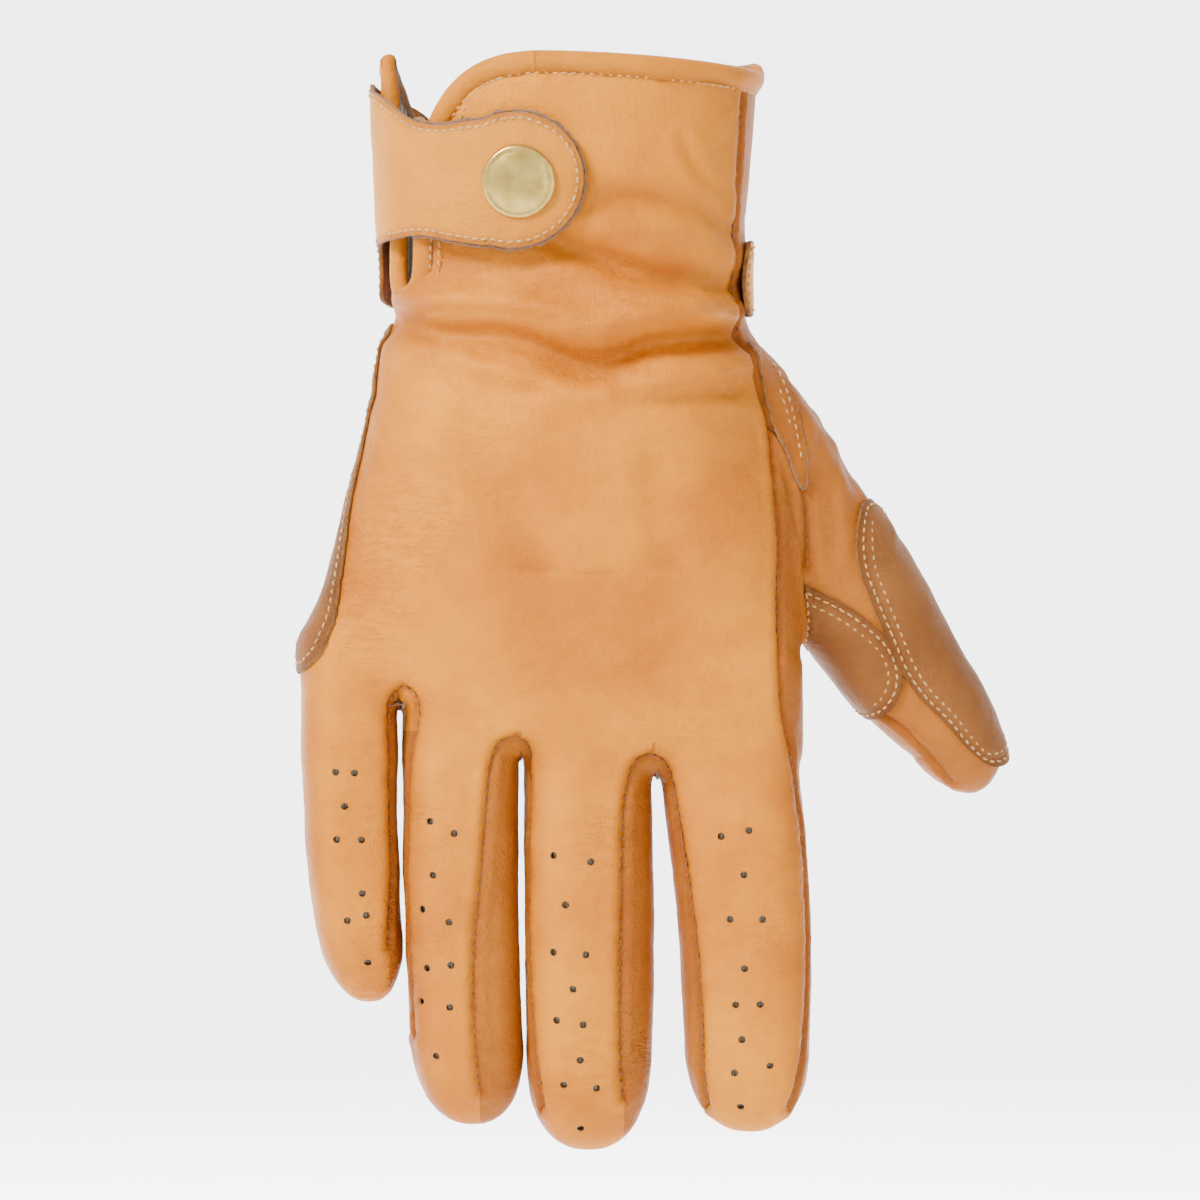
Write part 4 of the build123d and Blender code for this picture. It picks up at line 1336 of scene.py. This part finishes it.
def make_strap():
    """The strap's outer leather, the backing under its paddle, and their thread."""
    outline = strap_outline()

    def lay(flat, height):
        return flat_to_hand(flat, np.asarray(height) + strap_lift(flat))

    thick = STRAP_THICK
    obj = sheet("strap_leather", inset(outline, 0.4), lay, 1.0, thick * STRAP_LOW, thick, "strap", "strap",
                5.0, 1.1, 0.12, 0.2)
    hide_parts("strap_flap", "strap_base")
    under = outline[outline[:, 0] > round_at(BACKING_END, PADDLE_AT[1])]
    obj = sheet("strap_backing_leather", under, lay, 1.0, -thick * 0.3, thick * 1.1, "suede", "paddle", 6.0,
                1.1, 0.3, 0.35)
    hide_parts("strap_backing")
    rows = [row_on(outline, lay, STRAP_ROW, thick * (1 + STRAP_LOW) - 0.12)]
    stitches("strap_thread", rows, "strap", 1.45, 1.85, 0.25)


def flat_to_hand(flat, height):
    """Points on the hand, unrolled, at heights over it."""
    points = round_hand(flat)
    normals = gradient(hand_field, points)
    return points + normals * np.asarray(height)[:, None]


CAP = [  # radius and height of the snap's cap, from its middle to under its rim
    (0, 1.75), (1.6, 1.73), (3.2, 1.64), (4.8, 1.44), (5.9, 1.2), (6.35, 1.06), (6.65, 1.1), (7.0, 1.1),
    (7.3, 0.92), (7.5, 0.55), (7.45, 0.1), (7.1, -0.25), (5.5, -0.3), (0, -0.3),
]


def revolve(name, profile, centre, axis, look, sides):
    """A turned piece about an axis."""
    axis = unit(np.array(axis, float))
    across = unit(np.cross(axis, (0.0, 0.0, 1.0)))
    upward = np.cross(axis, across)
    points = []
    for radius, height in profile:
        for k in range(sides if radius > 0 else 1):
            turn = 2 * math.pi * k / sides
            out = across * math.cos(turn) + upward * math.sin(turn)
            points.append(centre + axis * height + out * radius)
    starts = np.cumsum([0] + [sides if r > 0 else 1 for r, _ in profile])
    faces = []
    for i in range(len(profile) - 1):
        a, b = int(starts[i]), int(starts[i + 1])
        for k in range(sides):
            n = (k + 1) % sides
            if profile[i][0] == 0:
                faces.append((a, b + n, b + k)[::-1])
            elif profile[i + 1][0] == 0:
                faces.append((a + k, b, a + n)[::-1])
            else:
                faces.append((a + k, b + k, b + n, a + n))
    return new_object(name, np.array(points), faces, [LOOKS[look]])


def make_snap():
    """The snap's cap on the strap, and brass for its other parts."""
    spot = flat_to_hand(np.array([[round_at(*SNAP_AT), SNAP_AT[1]]]), np.array([0.0]))
    normal = gradient(hand_field, spot)[0]
    lift = float(strap_lift(np.array([[round_at(*SNAP_AT), 0.0]]))[0])
    seat = spot[0] + normal * (lift + STRAP_THICK * (1 + STRAP_LOW) - 0.1)
    cap = revolve("snap_cap_brass", CAP, seat, normal, "cap", 96)
    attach(cap, "strap")
    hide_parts("snap_cap")
    for node in ("snap_socket", "snap_stud", "snap_eyelet"):
        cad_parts[node].data.materials.clear()
        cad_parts[node].data.materials.append(LOOKS["brass"])


HEM_ROW = 4.4  # the thread's distance from the rolled edge's lip
VENT_SECOND_ROW = 2.2  # and the vent's second row beyond it
VENT_ROW_SPAN = -46, -5


def make_edges():
    """The rolled edge round the vent and the mouth, as two pieces, and its rows of thread."""
    edge = curve(VENT_EDGE, 0.8)
    vent = VENT_AT + np.outer(edge[:, 0], VENT_ACROSS) + np.outer(edge[:, 1], (0, 0, 1)) + VENT_OUT * 14
    for _ in range(40):
        vent -= VENT_OUT * np.clip(hand_field(vent) * 0.7, -1, 6)[:, None]
    first, last = [math.atan2(p[1] / MOUTH_HALF_DEPTH, p[0] / 38) for p in (vent[-1], vent[0])]
    turns = np.linspace(first, last + 2 * math.pi if last < first else last, 260)[1:-1]
    x, y = MOUTH_HALF_WIDTH * np.cos(turns), MOUTH_HALF_DEPTH * np.sin(turns)
    mouth = np.stack([x, y, mouth_height(np.stack([x, y], 1))], 1)
    path = resample(np.vstack([vent, mouth]), ROLL_STEP, closed=True)
    for _ in range(3):
        path = path / 2 + (np.roll(path, 1, 0) + np.roll(path, -1, 0)) / 4
    path = settle(hand_field, path, rounds=3)
    rings, inward = rolled_rings(path, hand_field)
    split = int(distances(vent)[-1] / ROLL_STEP)
    roll_piece("vent_binding_roll", rings[:split + 1], "vent_binding")
    roll_piece("cuff_hem_roll", np.vstack([rings[split:], rings[:1]]), "cuff_hem")

    line = settle(hand_field, path + inward * HEM_ROW, ROLL_STANDS)
    rows = [(line, gradient(hand_field, line), True)]
    wider = HEM_ROW + VENT_SECOND_ROW * smoothstep((-3 - path[:, 2]) / 9)
    line = settle(hand_field, path + inward * wider[:, None], ROLL_STANDS)
    low, high = VENT_ROW_SPAN
    on_back = vent_local(path)[0][:, 0] > 0
    own = [i for i in range(split) if low < line[i, 2] < high and on_back[i]]
    rows.append((line[own], gradient(hand_field, line[own]), False))
    stitches("hem_thread", rows, "hand", radius=0.23)


INDEX_TOP = -141  # where the side seam passes from the hand to the index finger
SEAM_THREAD_DEPTH = 0.55


def make_seam_thread():
    """Small dark stitches that lie in the leather's seams. The thumb's own seam hides its thread."""
    seams = {}
    for (first, *_), (line, back) in SEAMS.items():
        if first == "side":
            on_hand = line[:, 1] > INDEX_TOP
            seams.setdefault("hand", []).append((line[on_hand], back))
            seams.setdefault("index", []).append((line[~on_hand], back))
        elif first != "thumb":
            limb = "thumb" if first == "gusset" else first
            seams.setdefault(limb, []).append((line, back))
    for limb, lines in seams.items():
        field = limb_field(limb)
        rows = []
        for line, back in lines:
            points = project(line, field, back)
            outs = gradient(field, points)
            seen = np.abs(outs[:, 1]) > EDGE_ON
            points, outs = points[seen], outs[seen]
            if len(points) > SHORTEST_ROW:
                rows.append((points - outs * SEAM_THREAD_DEPTH, outs, False))
        stitches("seam_thread_" + limb, rows, limb, 1.2, 2.1, 0.2, "seam_thread", 0.0)


# ---- materials
class Look:
    """Builds one material's nodes."""

    def __init__(self, name):
        self.material = bpy.data.materials.new(name)
        self.material.use_nodes = True
        self.tree = self.material.node_tree
        self.shader = self.tree.nodes["Principled BSDF"]
        self.rest = self.attribute("rest", "Vector")

    def node(self, kind, **values):
        node = self.tree.nodes.new(kind)
        for key, value in values.items():
            if hasattr(node, key):
                setattr(node, key, value)
            else:
                node.inputs[key.replace("_", " ")].default_value = value
        return node

    def link(self, a, b):
        self.tree.links.new(a, b)

    def attribute(self, name, output="Fac"):
        return self.node("ShaderNodeAttribute", attribute_name=name).outputs[output]

    def noise(self, scale, detail=3.0, roughness=0.55, vector=None):
        node = self.node("ShaderNodeTexNoise", Scale=scale, Detail=detail, Roughness=roughness)
        self.link(vector or self.rest, node.inputs["Vector"])
        return node.outputs["Fac"]

    def cells(self, scale, feature="F1"):
        node = self.node("ShaderNodeTexVoronoi", feature=feature, Scale=scale)
        self.link(self.rest, node.inputs["Vector"])
        return node.outputs["Distance"]

    def math(self, operation, a, b, clamp=False):
        node = self.node("ShaderNodeMath", operation=operation, use_clamp=clamp)
        for socket, value in zip(node.inputs, (a, b)):
            if isinstance(value, (int, float)):
                socket.default_value = value
            else:
                self.link(value, socket)
        return node.outputs[0]

    def ramp(self, value, stops):
        node = self.node("ShaderNodeValToRGB")
        self.link(value, node.inputs[0])
        ramp = node.color_ramp
        for i, (at, colour) in enumerate(stops):
            stop = ramp.elements[i] if i < 2 else ramp.elements.new(at)
            stop.position = at
            stop.color = (*colour, 1)
        return node.outputs["Color"]

    def above(self, value, level, gain):
        """How far a value is above a level, times gain, and never more than 1."""
        return self.math("MULTIPLY", self.math("SUBTRACT", value, level, True), gain, True)

    def mix(self, share, a, b):
        node = self.node("ShaderNodeMix", data_type="RGBA")
        for socket, value in ((node.inputs["Factor"], share), (node.inputs[6], a), (node.inputs[7], b)):
            if isinstance(value, (int, float)):
                socket.default_value = value
            elif isinstance(value, tuple):
                socket.default_value = (*value, 1)
            else:
                self.link(value, socket)
        return node.outputs[2]

    def bump(self, height, distance, strength=1.0, below=None):
        node = self.node("ShaderNodeBump", Strength=strength, Distance=distance)
        self.link(height, node.inputs["Height"])
        if below is not None:
            self.link(below, node.inputs["Normal"])
        return node.outputs["Normal"]

    def stretched(self, *scale):
        """The object's own coordinates, stretched."""
        node = self.node("ShaderNodeVectorMath", operation="MULTIPLY")
        self.link(self.rest, node.inputs[0])
        node.inputs[1].default_value = scale
        return node.outputs[0]

    def creases(self):
        """Fine lines across the leather, in patches."""
        ridges = self.noise(210, 4, 0.6, self.stretched(0.7, 1, 2.4))
        off_line = self.math("ABSOLUTE", self.math("SUBTRACT", ridges, 0.5), 0.0)
        line = self.math("MULTIPLY", off_line, 20.0, True)
        patches = self.above(self.noise(34, 2), 0.47, 5.0)
        return self.math("MULTIPLY", self.math("SUBTRACT", 1.0, line), patches)

    def set(self, **values):
        """Numbers and colours that are the same all over."""
        for key, value in values.items():
            self.shader.inputs[key.replace("_", " ")].default_value = value

    def colour(self, value):
        self.link(value, self.shader.inputs["Base Color"])

    def rough(self, value):
        self.link(value, self.shader.inputs["Roughness"])

    def normal(self, value):
        self.link(value, self.shader.inputs["Normal"])


def leather_look(name, light, middle, dark, roughness=0.46, grain=1.0):
    """Smooth dyed leather: cloudy colour, fine grain and pores; darker where worn, with painted shade by the
    seams, in folds and creases and on sideways-facing sides.
    """
    look = Look(name)
    clouds = look.noise(22, 4, 0.6)
    mottle = look.noise(170, 4, 0.65)
    base = look.ramp(clouds, [(0.36, middle), (0.6, light)])
    base = look.mix(look.above(mottle, 0.42, 0.9), base, middle)
    # Wear and painted shade from the mesh, broken up by fine noise.
    worn_and_shaded = look.math("MULTIPLY", look.attribute("wear_and_painted_shade"), look.math("ADD", look.noise(420, 2), 0.35), True)
    base = look.mix(look.math("MULTIPLY", worn_and_shaded, 0.62, True), base, dark)
    # Painted shade on sideways-facing leather, and an even darker tone over the patches.
    base = look.mix(look.math("MULTIPLY", look.attribute("burnish_and_side_shade"), 0.4, True), base, dark)
    pores = look.cells(1500)
    specks = look.math("SUBTRACT", 1.0, look.math("MULTIPLY", pores, 7.0, True))
    base = look.mix(look.math("MULTIPLY", specks, 0.16), base, dark)
    creases = look.creases()
    # Painted shade: the crease lines are darkened in colour as well as bumped.
    base = look.mix(look.math("MULTIPLY", creases, 0.1), base, dark)
    look.colour(base)
    look.rough(look.math("ADD", look.math("MULTIPLY", mottle, 0.2), roughness - 0.1))
    look.set(Specular_IOR_Level=0.15)
    wrinkles = look.noise(330, 5, 0.7)
    grains = look.cells(1150, "DISTANCE_TO_EDGE")
    folded = look.bump(look.math("SUBTRACT", 1.0, creases), 0.00022 * grain, 0.6)
    first = look.bump(wrinkles, 0.0008 * grain, 0.8, folded)
    second = look.bump(grains, 0.0002 * grain, 0.6, first)
    look.normal(look.bump(look.noise(2600, 2), 0.00006, 0.5, second))
    return look.material


def suede_look():
    """The leather's flesh side and its cut edges: short fibres in clumps."""
    look = Look("suede edge")
    fibres = look.noise(1400, 6, 0.8)
    clumps = look.noise(420, 4, 0.7)
    base = look.ramp(clumps, [(0.34, (0.13, 0.042, 0.004)), (0.66, (0.34, 0.125, 0.014))])
    look.colour(look.mix(look.above(fibres, 0.45, 2.2), base, (0.5, 0.24, 0.045)))
    look.set(Roughness=0.95, Specular_IOR_Level=0.15, Sheen_Weight=0.35)
    look.normal(look.bump(fibres, 0.0005, 0.9, look.bump(clumps, 0.0006, 0.7)))
    return look.material


def thread_look(name, light, dark):
    """Twisted thread."""
    look = Look(name)
    strands = look.noise(2100, 3, 0.6)
    look.colour(look.ramp(strands, [(0.35, dark), (0.62, light)]))
    look.set(Roughness=0.7, Sheen_Weight=0.2)
    look.normal(look.bump(strands, 0.00016, 0.8))
    return look.material


def knit_look():
    """The lining's thin knit."""
    look = Look("knit lining")
    loops = look.node("ShaderNodeTexWave", Scale=480.0, Distortion=2.0, Detail=2.0)
    look.link(look.rest, loops.inputs["Vector"])
    cross = look.cells(900)
    height = look.math("MULTIPLY", loops.outputs["Fac"], cross)
    look.colour(look.ramp(height, [(0.05, (0.2, 0.16, 0.11)), (0.5, (0.5, 0.42, 0.31))]))
    look.set(Roughness=0.9, Sheen_Weight=0.3)
    look.normal(look.bump(height, 0.0004, 0.8))
    return look.material


def brass_look(name, bright, dull, roughness):
    """Brushed brass with a soft patina."""
    look = Look(name)
    patina = look.noise(260, 5, 0.65)
    spots = look.noise(1500, 3, 0.6)
    base = look.ramp(patina, [(0.3, dull), (0.62, bright)])
    look.colour(look.mix(look.above(spots, 0.56, 3.0), base, dull))
    look.set(Metallic=1.0)
    look.rough(look.math("ADD", look.math("MULTIPLY", spots, 0.22), roughness - 0.08))
    scratches = look.noise(900, 3, 0.7, look.stretched(0.12, 0.12, 6.0))
    look.normal(look.bump(scratches, 0.00003, 0.6, look.bump(patina, 0.00012, 0.4)))
    return look.material


TAN_LIGHT, TAN, TAN_DARK = (0.84, 0.29, 0.006), (0.62, 0.17, 0.003), (0.24, 0.05, 0.001)
PALM_LIGHT, PALM = (0.5, 0.155, 0.014), (0.38, 0.105, 0.008)
GUSSET_LIGHT, GUSSET = (0.52, 0.16, 0.011), (0.38, 0.1, 0.006)
PATCH_LIGHT, PATCH, PATCH_DARK = (0.33, 0.12, 0.026), (0.22, 0.072, 0.014), (0.075, 0.02, 0.003)
ROLL_LIGHT, ROLL_TAN = (0.74, 0.25, 0.006), (0.57, 0.165, 0.003)
STRAP_LIGHT, STRAP_TAN = (0.8, 0.3, 0.015), (0.62, 0.2, 0.007)
LOOKS = {
    "back": leather_look("tan leather, back", TAN_LIGHT, TAN, TAN_DARK),
    "palm": leather_look("tan leather, palm", PALM_LIGHT, PALM, TAN_DARK, 0.5),
    "gusset": leather_look("tan leather, fourchettes", GUSSET_LIGHT, GUSSET, TAN_DARK, 0.5, 1.4),
    "patch": leather_look("tan leather, patches", PATCH_LIGHT, PATCH, PATCH_DARK, 0.5, 1.3),
    "roll": leather_look("tan leather, rolled", ROLL_LIGHT, ROLL_TAN, TAN_DARK, 0.45),
    "strap": leather_look("tan leather, strap", STRAP_LIGHT, STRAP_TAN, TAN_DARK, 0.48),
    "suede": suede_look(),
    "thread": thread_look("pale thread", (0.8, 0.47, 0.15), (0.4, 0.18, 0.05)),
    "seam_thread": thread_look("tan thread", (0.3, 0.115, 0.03), (0.14, 0.048, 0.013)),
    "knit": knit_look(),
    "cap": brass_look("antique brass cap", (0.8, 0.57, 0.15), (0.55, 0.36, 0.08), 0.2),
    "brass": brass_look("plain brass", (0.42, 0.3, 0.12), (0.28, 0.19, 0.07), 0.36),
}

make_panels()
make_edges()
make_thumb_patches()
make_palm_patches()
make_strap()
make_snap()
make_seam_thread()

# ---- studio
FLOOR_Z = -300
FLOOR_RADIUS = 1600
WALL_OUT, WALL_UP = 1100, 1900  # how far the floor's rim curves out and up
FLOOR_SHARE = 0.4  # of the stage's rings


def make_stage():
    """A pale seamless floor that curves up all round."""
    steps, sides = 28, 96
    points, faces = [], []
    for i in range(steps + 1):
        share = i / steps
        if share < FLOOR_SHARE:
            radius, height = FLOOR_RADIUS * share / FLOOR_SHARE, 0.0
        else:
            turn = (share - FLOOR_SHARE) / (1 - FLOOR_SHARE) * math.pi / 2
            radius, height = FLOOR_RADIUS + WALL_OUT * math.sin(turn), WALL_UP * (1 - math.cos(turn))
        for k in range(sides):
            angle = 2 * math.pi * k / sides
            points.append((radius * math.cos(angle), radius * math.sin(angle), FLOOR_Z + height))
    for i in range(steps):
        for k in range(sides):
            a, b = i * sides + k, i * sides + (k + 1) % sides
            faces.append((a, b, b + sides, a + sides))
    look = Look("backdrop")
    look.colour(look.ramp(look.noise(3, 2), [(0.3, (0.9, 0.9, 0.9)), (0.7, (0.93, 0.93, 0.93))]))
    look.set(Roughness=0.9, Emission_Color=(1, 1, 1, 1), Emission_Strength=0.15)
    obj = new_object("backdrop", points, faces, [look.material])


def lamp(name, place, size, power, target=(0, 0, -0.11)):
    """A square soft lamp that faces the glove's middle, or a target."""
    data = bpy.data.lights.new(name, "AREA")
    data.size = size
    data.energy = power
    light = bpy.data.objects.new(name, data)
    light.location = place
    light.rotation_euler = (Vector(target) - light.location).to_track_quat("-Z", "Y").to_euler()
    bpy.context.collection.objects.link(light)


make_stage()
camera = bpy.data.objects.new("camera", bpy.data.cameras.new("camera"))
camera.data.lens = 240
camera.data.sensor_width = 36
camera.location = (0.00575, -1.6427, -0.1109)
camera.rotation_euler = (math.radians(90), 0, 0)
bpy.context.collection.objects.link(camera)
bpy.context.scene.camera = camera

lamp("key", (-0.75, -0.75, 0.75), 0.35, 29)
lamp("fill", (0.6, -1.3, -0.1), 0.8, 3)
lamp("wall", (0, 0.5, 0.75), 1.2, 130, (0, 2.2, -0.15))
lamp("top", (0.1, 0.25, 0.95), 0.7, 3)
lamp("back", (0.2, 0.9, 0.85), 0.6, 3)
world = bpy.data.worlds.new("studio")
bpy.context.scene.world = world
world.use_nodes = True
background = world.node_tree.nodes["Background"]
background.inputs["Color"].default_value = (1, 1, 1, 1)
background.inputs["Strength"].default_value = 0.5
